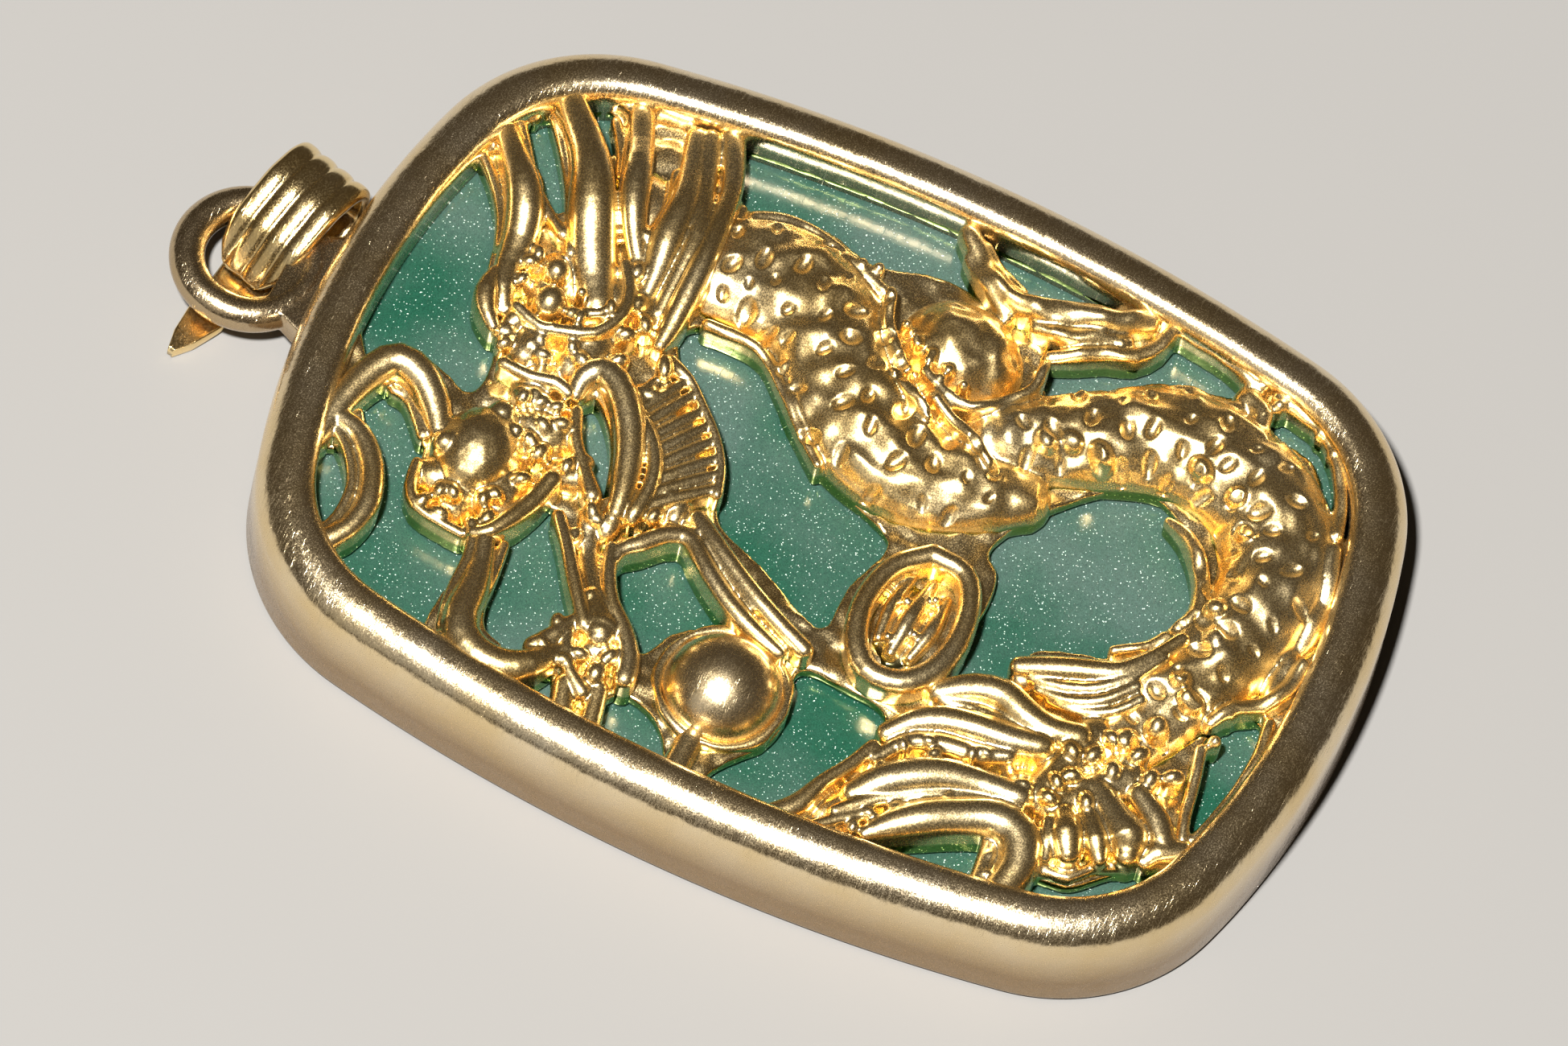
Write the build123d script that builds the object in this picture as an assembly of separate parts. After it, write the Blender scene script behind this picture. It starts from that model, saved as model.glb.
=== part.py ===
from build123d import *
from collections import namedtuple
from math import atan2, cos, degrees, radians, sin, sqrt
import os
import numpy as np

# A dragon pendant that lies on its back: a gold-plated casting over a jade plate.
# X points to the pendant's right, Y towards its bail and Z out of its front.
# The origin is the middle of the flat back of the casting. All sizes are in millimetres.

# The barrel-shaped body, seen from the front.
body_length = 38.0
body_width = 28.0
side_radius = 65.6
end_radius = 28.6
corner_radius = 7.1

# The rim round the body.
rim_height = 4.1
rim_width = 2.0
rim_roll = 1.25
rim_inner_roll = 0.6
back_roll = 0.25
wall_thickness = 1.0

# The jade plate in the pocket behind the openwork. Its back is flush with the casting's.
jade_thickness = 2.1
jade_edge_roll = 0.2
jade_gap = 0.06

# The openwork: its web and the relief that stands on it.
web_thickness = 0.75
web_lift = 0.05
web_hold = 0.75
relief_rise = 1.45
relief_spacing = 0.3
relief_tolerance = 0.02
strand_width = 1.0
pearl_diameter = 4.2
pearl_centre_height = 2.5
pearl_place = (-0.688, 0.02)

# The ring cast on the upper end, in the plane of the body.
ring_bore = 3.1
ring_wire = 1.24
ring_height = 1.7
ring_root_width = 4.6
ring_root_thickness = 1.2
ring_root_roll = 0.3
ring_sink = 0.15

# The folded bail, which hangs in the ring and lies over to the right.
bail_width = 2.95
bail_thickness = 0.4
bail_reach = 4.6
bail_rise = 0.35
bail_lift = 0.05
bail_dip_start = 0.8
bail_fold_share = 0.45
bail_turn = -16.0
bail_wire_gap = 0.12
bail_tongue = 0.35
bail_tail = 3.95
bail_ribs = 4
bail_rib_width = 0.5
bail_rib_height = 0.1

# Sizes that follow from the ones above.
half_length = body_length / 2
half_width = body_width / 2
open_half_length = half_length - rim_width
open_half_width = half_width - rim_width
seat_height = jade_thickness + jade_gap
web_bottom = seat_height + web_lift
web_top = web_bottom + web_thickness
relief_top = web_top + 2 * relief_rise
ring_radius = (ring_bore + ring_wire) / 2
ring_centre = half_length + ring_radius + ring_wire / 2 - ring_sink

# A window is cut right through the web. Its outline is a closed curve through the rows below:
# across and along are shares of the opening's half width and half length.
# Rows past the opening's edge let the rim's own wall close the window.
windows = {
    "brow": ((-0.17, 0.97), (0.0, 1.03), (0.34, 1.03), (0.57, 0.965), (0.43, 0.875),
             (0.14, 0.81), (0.0, 0.745), (-0.14, 0.75), (-0.105, 0.88)),
    "horns": ((0.71, 0.925), (0.79, 0.90), (0.71, 0.825), (0.59, 0.755), (0.50, 0.765),
              (0.58, 0.82), (0.65, 0.89)),
    "horn_tip": ((0.855, 0.825), (0.885, 0.78), (0.82, 0.735), (0.73, 0.72), (0.80, 0.77)),
    "back": ((0.94, 0.505), (1.05, 0.50), (1.05, 0.02), (0.93, 0.01), (0.835, -0.085),
             (0.83, 0.05), (0.785, 0.14), (0.82, 0.30), (0.78, 0.43)),
    "foot": ((1.05, -0.05), (1.05, -0.33), (0.97, -0.33), (0.95, -0.25), (0.905, -0.18),
             (0.94, -0.08)),
    "knee": ((0.65, -0.26), (0.78, -0.245), (0.83, -0.35), (0.91, -0.43), (1.0, -0.46),
             (0.97, -0.56), (0.905, -0.62), (0.84, -0.50), (0.72, -0.385)),
    "tail_right": ((0.85, -0.69), (0.92, -0.69), (0.91, -0.80), (0.80, -0.885), (0.61, -0.93),
                   (0.58, -0.905), (0.72, -0.85), (0.81, -0.76)),
    "belly": ((0.06, -0.335), (-0.16, -0.365), (-0.36, -0.375), (-0.27, -0.47), (-0.15, -0.49),
              (-0.08, -0.60), (0.04, -0.70), (0.20, -0.725), (0.37, -0.67), (0.47, -0.57),
              (0.33, -0.41)),
    "chest": ((0.22, 0.40), (0.34, 0.42), (0.385, 0.33), (0.28, 0.19), (0.12, 0.07),
              (0.03, -0.06), (-0.02, -0.13), (-0.20, -0.105), (-0.36, -0.10), (-0.27, 0.06),
              (-0.18, 0.19), (-0.02, 0.23), (0.11, 0.31)),
    "chin": ((-0.93, 0.60), (-0.75, 0.605), (-0.57, 0.61), (-0.55, 0.745), (-0.42, 0.79),
             (-0.46, 0.835), (-0.64, 0.80), (-0.80, 0.85), (-0.92, 0.83), (-0.985, 0.74),
             (-0.975, 0.64)),
    "whisker": ((-0.50, 0.80), (-0.28, 0.82), (-0.235, 0.90), (-0.29, 0.935), (-0.38, 0.90)),
    "whisker_eye": ((-0.765, 0.91), (-0.66, 0.965), (-0.53, 0.97), (-0.495, 0.91),
                    (-0.58, 0.87), (-0.70, 0.875)),
    "claw": ((-0.86, 0.49), (-0.74, 0.53), (-0.50, 0.545), (-0.38, 0.495), (-0.52, 0.425),
             (-0.65, 0.36), (-0.79, 0.395), (-0.86, 0.44)),
    "jaw": ((-0.05, 0.555), (0.05, 0.545), (0.04, 0.49), (-0.08, 0.44), (-0.22, 0.395),
            (-0.285, 0.42), (-0.16, 0.50)),
    "arms": ((-0.39, 0.335), (-0.51, 0.32), (-0.62, 0.245), (-0.68, 0.20), (-0.57, 0.155),
             (-0.48, 0.07), (-0.40, 0.12), (-0.32, 0.26)),
    "paw": ((-1.04, 0.40), (-0.94, 0.415), (-0.86, 0.345), (-0.92, 0.32), (-1.04, 0.30)),
    "pearl_upper": ((-1.04, 0.205), (-0.93, 0.22), (-0.83, 0.19), (-0.84, 0.14), (-0.93, 0.07),
                    (-1.04, 0.06)),
    "pearl_lower": ((-1.04, -0.04), (-0.90, -0.05), (-0.78, -0.11), (-0.65, -0.115),
                    (-0.52, -0.10), (-0.51, -0.19), (-0.54, -0.29), (-0.66, -0.295),
                    (-0.82, -0.245), (-1.04, -0.17)),
    "plume": ((-1.0, -0.39), (-0.90, -0.395), (-0.82, -0.49), (-0.755, -0.585), (-0.93, -0.605),
              (-1.0, -0.50)),
    "corner": ((-0.94, -0.68), (-0.82, -0.68), (-0.80, -0.765), (-0.70, -0.84), (-0.64, -0.925),
               (-0.76, -0.90), (-0.87, -0.81), (-0.925, -0.73)),
    "lower_end": ((-0.50, -0.92), (-0.33, -0.89), (-0.18, -0.88), (-0.06, -0.925),
                  (-0.06, -0.96), (-0.22, -0.98), (-0.40, -0.955)),
}

# A strand of relief is a rounded ridge through a few stations. Across and along are shares
# of the opening's half sizes, half_width of the strand width and rise of the relief's rise.
Station = namedtuple("Station", "across along half_width rise")
strands = {
    "neck": ((0.58, 0.45, 2.4, 0.55), (0.585, 0.30, 2.6, 0.85), (0.50, 0.17, 2.6, 0.95),
             (0.31, 0.04, 2.7, 1.0), (0.22, -0.10, 2.4, 0.95), (0.24, -0.24, 1.9, 0.75)),
    "loin": ((0.42, -0.24, 1.6, 0.75), (0.52, -0.37, 1.9, 0.9), (0.64, -0.52, 2.3, 0.95),
             (0.65, -0.66, 2.4, 0.95), (0.55, -0.79, 2.3, 0.95), (0.34, -0.855, 2.2, 0.95),
             (0.10, -0.83, 2.1, 0.9), (-0.12, -0.77, 2.1, 0.8), (-0.36, -0.71, 2.0, 0.65)),
    "lower_horn": ((0.13, 0.785, 0.5, 0.55), (0.34, 0.815, 0.6, 0.75), (0.54, 0.86, 0.85, 0.8),
                   (0.70, 0.945, 0.8, 0.6)),
    "upper_horn": ((0.27, 0.635, 0.9, 0.95), (0.43, 0.66, 1.0, 1.05), (0.62, 0.72, 0.95, 1.0),
                   (0.76, 0.80, 0.8, 0.85), (0.85, 0.895, 0.7, 0.6)),
    "mane_lowest": ((0.24, 0.455, 0.5, 0.7), (0.50, 0.455, 0.5, 0.8), (0.76, 0.475, 0.5, 0.7),
                    (1.0, 0.54, 0.6, 0.5)),
    "mane_lower": ((0.12, 0.545, 0.7, 0.7), (0.40, 0.53, 0.8, 0.85), (0.70, 0.55, 0.7, 0.75),
                   (1.0, 0.605, 0.6, 0.5)),
    "mane_upper": ((0.34, 0.585, 0.5, 0.7), (0.55, 0.615, 0.7, 0.8), (0.74, 0.66, 0.6, 0.7),
                   (0.95, 0.735, 0.5, 0.5)),
    "whisker_lower": ((-0.98, 0.86, 0.6, 0.35), (-0.80, 0.885, 0.7, 0.5),
                      (-0.62, 0.845, 0.75, 0.6), (-0.45, 0.88, 0.65, 0.6),
                      (-0.36, 0.965, 0.6, 0.5)),
    "whisker_upper": ((-0.40, 0.97, 0.6, 0.5), (-0.25, 0.965, 0.6, 0.65),
                      (-0.16, 0.905, 0.65, 0.75), (-0.20, 0.825, 0.6, 0.65),
                      (-0.26, 0.78, 0.5, 0.5)),
    "lip": ((-0.56, 0.575, 0.5, 0.6), (-0.44, 0.565, 0.6, 0.7), (-0.30, 0.535, 0.5, 0.6),
            (-0.16, 0.565, 0.5, 0.6), (-0.05, 0.60, 0.5, 0.5)),
    "beard": ((-0.98, 0.55, 0.6, 0.35), (-0.84, 0.575, 0.6, 0.5), (-0.68, 0.575, 0.65, 0.55),
              (-0.54, 0.58, 0.6, 0.55)),
    "claw_hook": ((-0.80, 0.57, 0.5, 0.5), (-0.92, 0.52, 0.55, 0.6), (-0.92, 0.44, 0.55, 0.65),
                  (-0.84, 0.375, 0.5, 0.6), (-0.68, 0.345, 0.45, 0.6)),
    "jaw_loop": ((-0.30, 0.375, 0.6, 0.6), (-0.14, 0.395, 0.65, 0.75), (0.02, 0.445, 0.65, 0.85),
                 (0.09, 0.52, 0.6, 0.85), (0.02, 0.58, 0.5, 0.7)),
    "upper_arm": ((-0.27, 0.45, 0.7, 0.6), (-0.44, 0.435, 0.5, 0.65), (-0.58, 0.375, 0.5, 0.65),
                  (-0.72, 0.325, 0.5, 0.6)),
    "upper_arm_back": ((-0.26, 0.36, 0.6, 0.6), (-0.42, 0.36, 0.6, 0.65),
                       (-0.56, 0.305, 0.6, 0.65), (-0.70, 0.24, 0.6, 0.6)),
    "paw_to_rim": ((-0.84, 0.30, 0.5, 0.5), (-0.94, 0.275, 0.45, 0.35), (-1.02, 0.255, 0.5, 0.3)),
    "forearm_left": ((-0.31, 0.24, 0.5, 0.6), (-0.38, 0.11, 0.5, 0.75), (-0.45, -0.02, 0.5, 0.75),
                     (-0.49, -0.15, 0.45, 0.6)),
    "forearm_right": ((-0.22, 0.22, 0.55, 0.6), (-0.29, 0.09, 0.55, 0.75),
                      (-0.36, -0.03, 0.5, 0.75), (-0.42, -0.12, 0.45, 0.6)),
    "shin": ((1.02, -0.015, 0.6, 0.35), (0.92, -0.04, 0.6, 0.6), (0.86, -0.13, 0.7, 0.75),
             (0.88, -0.24, 0.7, 0.8), (0.92, -0.34, 0.75, 0.8), (1.0, -0.40, 0.6, 0.45)),
    "toe": ((0.76, -0.22, 0.5, 0.6), (0.83, -0.28, 0.5, 0.65), (0.87, -0.37, 0.5, 0.55),
            (0.97, -0.43, 0.5, 0.4)),
    "plume_top": ((-1.0, -0.20, 0.5, 0.35), (-0.84, -0.265, 0.5, 0.55),
                  (-0.64, -0.315, 0.5, 0.6), (-0.46, -0.35, 0.5, 0.5)),
    "plume_hook": ((-0.92, -0.34, 0.6, 0.5), (-0.80, -0.46, 0.6, 0.7), (-0.71, -0.57, 0.6, 0.75),
                   (-0.78, -0.645, 0.6, 0.65), (-1.0, -0.65, 0.5, 0.4)),
    "plume_second": ((-0.80, -0.33, 0.5, 0.6), (-0.68, -0.41, 0.55, 0.7),
                     (-0.59, -0.52, 0.6, 0.75), (-0.52, -0.64, 0.6, 0.7)),
    "plume_third": ((-0.64, -0.34, 0.5, 0.6), (-0.54, -0.43, 0.55, 0.7),
                    (-0.47, -0.55, 0.55, 0.75), (-0.40, -0.66, 0.6, 0.7)),
    "plume_fourth": ((-0.46, -0.38, 0.5, 0.55), (-0.41, -0.48, 0.5, 0.65),
                     (-0.34, -0.60, 0.55, 0.7), (-0.26, -0.70, 0.6, 0.7)),
    "plume_last": ((-0.36, -0.42, 0.45, 0.5), (-0.31, -0.51, 0.5, 0.65),
                   (-0.27, -0.61, 0.5, 0.7), (-0.16, -0.71, 0.6, 0.7)),
    "plume_tip": ((-0.20, -0.48, 0.4, 0.4), (-0.15, -0.57, 0.45, 0.55),
                  (-0.06, -0.67, 0.5, 0.65), (0.08, -0.75, 0.5, 0.7)),
    "scroll_left": ((-0.80, -0.71, 0.5, 0.5), (-0.68, -0.73, 0.7, 0.7), (-0.54, -0.71, 0.6, 0.6)),
    "scroll_right": ((-0.64, -0.90, 0.5, 0.5), (-0.60, -0.83, 0.75, 0.7),
                     (-0.46, -0.83, 0.6, 0.6), (-0.28, -0.86, 0.5, 0.5)),
}

# A boss is a rounded lump of relief. Its half sizes are shares of the strand width.
Boss = namedtuple("Boss", "across along half_across half_along turn rise")
bosses = {
    "thigh": (0.61, -0.06, 2.3, 3.0, -8, 1.1),
    "nose": (-0.32, 0.69, 1.6, 1.5, 0, 1.05),
    "muzzle": (-0.48, 0.685, 1.5, 1.4, 0, 0.75),
    "nose_bridge": (-0.14, 0.665, 1.3, 1.2, 0, 0.85),
    "eye": (0.20, 0.70, 0.95, 0.8, 0, 0.95),
    "eyebrow": (0.28, 0.745, 1.6, 0.7, 10, 0.8),
    "cheek": (0.04, 0.66, 1.5, 1.5, 0, 0.75),
    "temple": (0.16, 0.60, 1.4, 0.9, 0, 0.7),
    "jaw_fin": (-0.06, 0.33, 3.1, 1.35, 16, 0.7),
    "paw": (-0.78, 0.265, 1.35, 1.0, 12, 0.75),
    "paw_web": (-0.75, 0.18, 1.2, 0.7, 0, 0.3),
}

# The oval medallion is a ring of relief with a lower leaf in its middle.
medallion = Boss(-0.235, -0.235, 2.95, 1.75, -4, 0.7)
medallion_leaf = Boss(-0.235, -0.24, 1.7, 0.75, -4, 0.5)
medallion_ring_width = 0.5


# The bail's two leaves narrow towards their ends. A row is a place along the bail, as a share of
# the tongue's or the tail's length, and a half width, as a share of the bail's half width.
tongue_rows = ((-1.4, 0.3), (-0.8, 0.6), (0.3, 0.85), (1.8, 0.97), (3.5, 1.0))
tail_rows = ((-1.02, 0.05), (-0.82, 0.3), (-0.56, 0.46), (-0.25, 0.56), (0.1, 0.72), (0.6, 1.0))


def barrel(inset, low, high):
    """A prism of the body's outline, moved inwards, between two heights."""
    side = side_radius - inset
    end = end_radius - inset
    corner = corner_radius - inset
    side_middle = Vector(half_width - side_radius, 0)
    end_middle = Vector(0, half_length - end_radius)
    # The corner's middle lies where the circles of the two shortened radii cross.
    from_side = side - corner
    from_end = end - corner
    span = end_middle - side_middle
    along = (from_side**2 - from_end**2 + span.length**2) / (2 * span.length)
    aside = sqrt(from_side**2 - along**2)
    step = span.normalized()
    corner_middle = side_middle + step * along + Vector(-step.Y, step.X) * aside
    side_angle = degrees(atan2(corner_middle.Y, corner_middle.X - side_middle.X))
    end_angle = degrees(atan2(corner_middle.Y - end_middle.Y, corner_middle.X))
    quarter = [CenterArc(side_middle, side, 0, side_angle),
               CenterArc(corner_middle, corner, side_angle, end_angle - side_angle),
               CenterArc(end_middle, end, end_angle, 90 - end_angle)]
    upper = quarter + [mirror(arc, Plane.YZ) for arc in quarter]
    lower = [mirror(arc, Plane.XZ) for arc in upper]
    return Pos(0, 0, low) * extrude(make_face(upper + lower), amount=high - low, dir=(0, 0, 1))


def placed(across, along):
    """The place in the opening of two shares of its half sizes."""
    return across * open_half_width, along * open_half_length


def smooth_path(rows, steps=8):
    """Stations on a smooth curve through the rows, with their widths and rises."""
    knots = np.array([(*placed(row.across, row.along), row.half_width * strand_width, row.rise)
                      for row in rows])
    padded = np.vstack([2 * knots[0] - knots[1], knots, 2 * knots[-1] - knots[-2]])
    path = []
    for before, start, stop, after in zip(padded, padded[1:], padded[2:], padded[3:]):
        for share in np.arange(steps) / steps:
            path.append(0.5 * (2 * start + (stop - before) * share
                               + (2 * before - 5 * start + 4 * stop - after) * share**2
                               + (3 * start - before - 3 * stop + after) * share**3))
    return np.array(path + [knots[-1]])


def strand_rise(x, y, rows):
    """How high one strand stands over the web, as a share, at each point of a grid."""
    rise = np.zeros_like(x)
    for place_x, place_y, width, crest in smooth_path([Station(*row) for row in rows]):
        share = ((x - place_x) ** 2 + (y - place_y) ** 2) / width**2
        rise = np.maximum(rise, crest * np.sqrt(np.clip(1 - share, 0, 1)))
    return rise


def oval_distance(x, y, boss):
    """The distance from a boss's middle at each point of a grid, 1 at its edge."""
    place_x, place_y = placed(boss.across, boss.along)
    turn = radians(boss.turn)
    along = (x - place_x) * cos(turn) + (y - place_y) * sin(turn)
    aside = (y - place_y) * cos(turn) - (x - place_x) * sin(turn)
    return np.hypot(along / (boss.half_across * strand_width),
                    aside / (boss.half_along * strand_width))


def boss_rise(x, y, boss):
    """How high one boss stands over the web, as a share, at each point of a grid."""
    return boss.rise * np.sqrt(np.clip(1 - oval_distance(x, y, boss) ** 2, 0, 1))


def ring_rise(x, y, boss):
    """How high the medallion's ring stands over the web, as a share."""
    reach = min(boss.half_across, boss.half_along) * strand_width
    from_line = (oval_distance(x, y, boss) - 1) * reach + medallion_ring_width
    return boss.rise * np.sqrt(np.clip(1 - (from_line / medallion_ring_width) ** 2, 0, 1))


def softened(rise):
    """The same rises with their edges rounded off, as a casting's are."""
    framed = np.pad(rise, 1, mode="edge")
    columns = framed[:-2] + 2 * framed[1:-1] + framed[2:]
    return (columns[:, :-2] + 2 * columns[:, 1:-1] + columns[:, 2:]) / 16


def relief_surface():
    """The front of the openwork as one smooth surface, a little wider than the opening."""
    reach_x = open_half_width + rim_width / 2
    reach_y = open_half_length + rim_width / 2
    columns = int(2 * reach_x / relief_spacing)
    lines = int(2 * reach_y / relief_spacing)
    x, y = np.meshgrid(np.linspace(-reach_x, reach_x, columns),
                       np.linspace(-reach_y, reach_y, lines), indexing="ij")
    layers = [strand_rise(x, y, rows) for rows in strands.values()]
    layers += [boss_rise(x, y, Boss(*row)) for row in bosses.values()]
    layers += [ring_rise(x, y, medallion), boss_rise(x, y, medallion_leaf)]
    rise = np.maximum.reduce(layers)
    height = web_top + relief_rise * softened(rise)
    grid = [[Vector(x[i, j], y[i, j], height[i, j]) for j in range(lines)]
            for i in range(columns)]
    return Face.make_surface_from_array_of_points(grid, tol=relief_tolerance, min_deg=3, max_deg=3)


def openwork():
    """The pierced relief, with its edge inside the rim."""
    block = extrude(relief_surface(), amount=web_top, dir=(0, 0, -1))
    web = block & barrel(rim_width - web_hold, web_bottom, relief_top)
    cuts = []
    for rows in windows.values():
        outline = Spline(*[placed(*row) for row in rows], periodic=True)
        cuts.append(extrude(make_face(outline), amount=relief_top))
    return web - cuts


def pearl():
    """The smooth pearl, a ball that sinks into the openwork."""
    ball = Pos(*placed(*pearl_place), pearl_centre_height) * Sphere(pearl_diameter / 2)
    return ball & barrel(rim_width, web_bottom, relief_top)


def rim():
    """The rim: a wall round the jade, rolled over the jade's edge at the front."""
    block = barrel(0, 0, rim_height)
    block = fillet(block.edges().group_by(Axis.Z)[-1], rim_roll)
    block = fillet(block.edges().group_by(Axis.Z)[0], back_roll)
    block -= barrel(rim_width, 0, rim_height)
    block = fillet(block.faces().sort_by(Axis.Z)[-1].inner_wires()[0].edges(), rim_inner_roll)
    return block - barrel(wall_thickness, 0, seat_height)


def hook_ring():
    """The ring on the upper end, with the root that widens into the rim."""
    ring = Pos(0, ring_centre, ring_height) * Torus(ring_radius, ring_wire / 2)
    foot = half_length - wall_thickness / 2
    waist = (foot + ring_centre) / 2
    outline = make_face(Polyline((-ring_root_width / 2, foot), (ring_root_width / 2, foot),
                                 (ring_radius, waist), (-ring_radius, waist), close=True))
    low = ring_height - ring_root_thickness / 2
    root = Pos(0, 0, low) * extrude(outline, amount=ring_root_thickness)
    root = fillet(root.edges().filter_by(Axis.Z, reverse=True), ring_root_roll)
    bore = Pos(0, ring_centre, ring_height) * Cylinder(ring_radius, 2 * ring_root_thickness)
    return ring + (root - bore)


def setting():
    """The whole casting: rim, openwork, pearl and hook ring in one piece."""
    return rim() + openwork() + pearl() + hook_ring()


def jade_plate():
    """The jade, a flat plate with softened edges behind the openwork."""
    plate = barrel(wall_thickness + jade_gap, 0, jade_thickness)
    return fillet(plate.edges().group_by(Axis.Z)[0] + plate.edges().group_by(Axis.Z)[-1],
                  jade_edge_roll)


def leaf_block(rows, low, high):
    """A block that leaves one leaf of the bail: its plan, from rows of reach and half width."""
    near = [(reach, -width) for reach, width in rows]
    far = [(reach, width) for reach, width in reversed(rows)]
    plan = make_face(Polyline(*near, *far, close=True))
    return Pos(0, 0, low) * extrude(plan, amount=high - low)


def folded_strip(profile, across, width):
    """A bar of a side profile, so wide, round a line so far across the bail."""
    return Pos(0, across, 0) * extrude(Plane.XZ * profile, amount=width / 2, both=True)


def bail():
    """The bail: a ribbed strip folded round the ring's wire, both its ends at the ring's bore."""
    half = bail_thickness / 2
    floor = bail_lift + half
    over_wire = ring_height + ring_wire / 2 + bail_wire_gap + half
    far = bail_reach - half
    ceiling = over_wire + bail_rise
    fold = bail_fold_share * (ceiling - floor)
    path = FilletPolyline((-bail_tongue, floor + bail_thickness + bail_wire_gap + half),
                          (bail_dip_start, over_wire), (far, ceiling), (far, floor),
                          (-bail_tail, floor), radius=[ring_wire, fold, fold])
    line = Wire(path.edges())
    strip = make_face(line.offset_2d(half))
    inside = make_face(Wire(path.edges() + [Line(path @ 1, path @ 0).edge()]))
    ribbing = make_face(line.offset_2d(half + bail_rib_height)) - inside
    body = folded_strip(strip, 0, bail_width)
    pitch = bail_width / bail_ribs
    for rib in range(bail_ribs):
        body += folded_strip(ribbing, (rib + 0.5) * pitch - bail_width / 2, bail_rib_width)
    middle = ring_height - ring_wire / 2 - bail_wire_gap
    side = bail_width / 2
    upper_rows = [(reach * bail_tongue, width * side) for reach, width in tongue_rows]
    lower_rows = [(reach * bail_tail, width * side) for reach, width in tail_rows]
    beyond = bail_reach + bail_thickness
    upper = leaf_block(upper_rows + [(beyond, side)], middle, 2 * ceiling)
    lower = leaf_block(lower_rows + [(beyond, side)], 0, middle)
    leaves = (body & upper) + (body & lower)
    return Pos(0, ring_centre, 0) * Rot(0, 0, bail_turn) * leaves


os.makedirs("parts", exist_ok=True)
export_step(setting(), "parts/setting.step")
export_step(jade_plate(), "parts/jade_plate.step")
export_step(bail(), "parts/bail.step")
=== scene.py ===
from collections import namedtuple
from math import atan2, cos, pi, radians, sin, sqrt, tan

import bmesh
import bpy
import numpy as np
from mathutils import Matrix, Vector, noise


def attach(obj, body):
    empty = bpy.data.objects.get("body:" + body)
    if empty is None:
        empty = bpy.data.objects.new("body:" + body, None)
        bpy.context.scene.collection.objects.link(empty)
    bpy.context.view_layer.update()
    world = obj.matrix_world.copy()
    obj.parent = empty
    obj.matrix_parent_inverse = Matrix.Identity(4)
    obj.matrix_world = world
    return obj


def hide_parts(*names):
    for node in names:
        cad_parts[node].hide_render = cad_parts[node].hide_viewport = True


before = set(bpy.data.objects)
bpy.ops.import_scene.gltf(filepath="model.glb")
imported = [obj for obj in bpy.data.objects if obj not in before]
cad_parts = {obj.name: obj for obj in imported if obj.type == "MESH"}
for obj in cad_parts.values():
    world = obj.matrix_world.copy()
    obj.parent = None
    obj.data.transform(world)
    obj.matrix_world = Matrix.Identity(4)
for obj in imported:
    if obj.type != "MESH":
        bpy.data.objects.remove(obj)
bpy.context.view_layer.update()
mm = 0.001

# The camera stands well back with a long lens, over the pendant's lower left, and looks down
# at it at the photo's slant.
camera_place = (-0.69605, -0.15417, 1.20488)
camera_turn = (radians(29.91), radians(-6.955), radians(-65.508))
camera_lens = 949.8
nearest_seen = 0.05


def in_scene(name, data):
    """A new object that shows its data in the scene."""
    thing = bpy.data.objects.new(name, data)
    bpy.context.scene.collection.objects.link(thing)
    return thing


camera = in_scene("camera", bpy.data.cameras.new("camera"))
camera.data.lens = camera_lens
camera.data.clip_start = nearest_seen
camera.location = camera_place
camera.rotation_euler = camera_turn
bpy.context.scene.camera = camera

# The table is one plain pale sheet with a dull face, far wider than the pendant, which lies on it
# on its back.
table_size = 1.2
table_colour = (0.165, 0.161, 0.154, 1)
table_roughness = 0.75


def mesh_of(name, bm):
    """A mesh with what was modelled."""
    mesh = bpy.data.meshes.new(name)
    bm.to_mesh(mesh)
    return mesh


bm = bmesh.new()
bmesh.ops.create_grid(bm, x_segments=1, y_segments=1, size=table_size)
table = in_scene("table", mesh_of("table", bm))
bm.free()
table_paint = bpy.data.materials.new("pale_table")
table_paint.use_nodes = True
table_shader = table_paint.node_tree.nodes["Principled BSDF"]
table_shader.inputs["Base Color"].default_value = table_colour
table_shader.inputs["Roughness"].default_value = table_roughness
table.data.materials.append(table_paint)

# The studio: a small bright lamp on the camera's side for the hot spots on the gold, a wide weak
# one at the left for its soft sides, and dim brownish walls.
Lamp = namedtuple("Lamp", "name place size watts colour")
lamps = (
    Lamp("front_lamp", (-0.290, 0.040, 0.655), 0.055, 20.0, (1.0, 0.98, 0.95)),
    Lamp("left_lamp", (-0.60, 0.30, 0.34), 0.50, 0.16, (0.95, 0.97, 1.0)),
)
wall_colour = (0.20, 0.16, 0.11, 1)
wall_strength = 0.26
for lamp in lamps:
    light = bpy.data.lights.new(lamp.name, "AREA")
    light.shape = "DISK"
    light.size = lamp.size
    light.energy = lamp.watts
    light.color = lamp.colour
    lamp_object = in_scene(lamp.name, light)
    lamp_object.location = lamp.place
    lamp_object.rotation_euler = (-Vector(lamp.place)).to_track_quat("-Z", "Y").to_euler()
studio = bpy.data.worlds.new("studio")
studio.use_nodes = True
walls = studio.node_tree.nodes["Background"]
walls.inputs["Color"].default_value = wall_colour
walls.inputs["Strength"].default_value = wall_strength
bpy.context.scene.world = studio
bpy.context.scene.view_settings.view_transform = "Standard"
bpy.context.scene.view_settings.look = "None"

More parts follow.
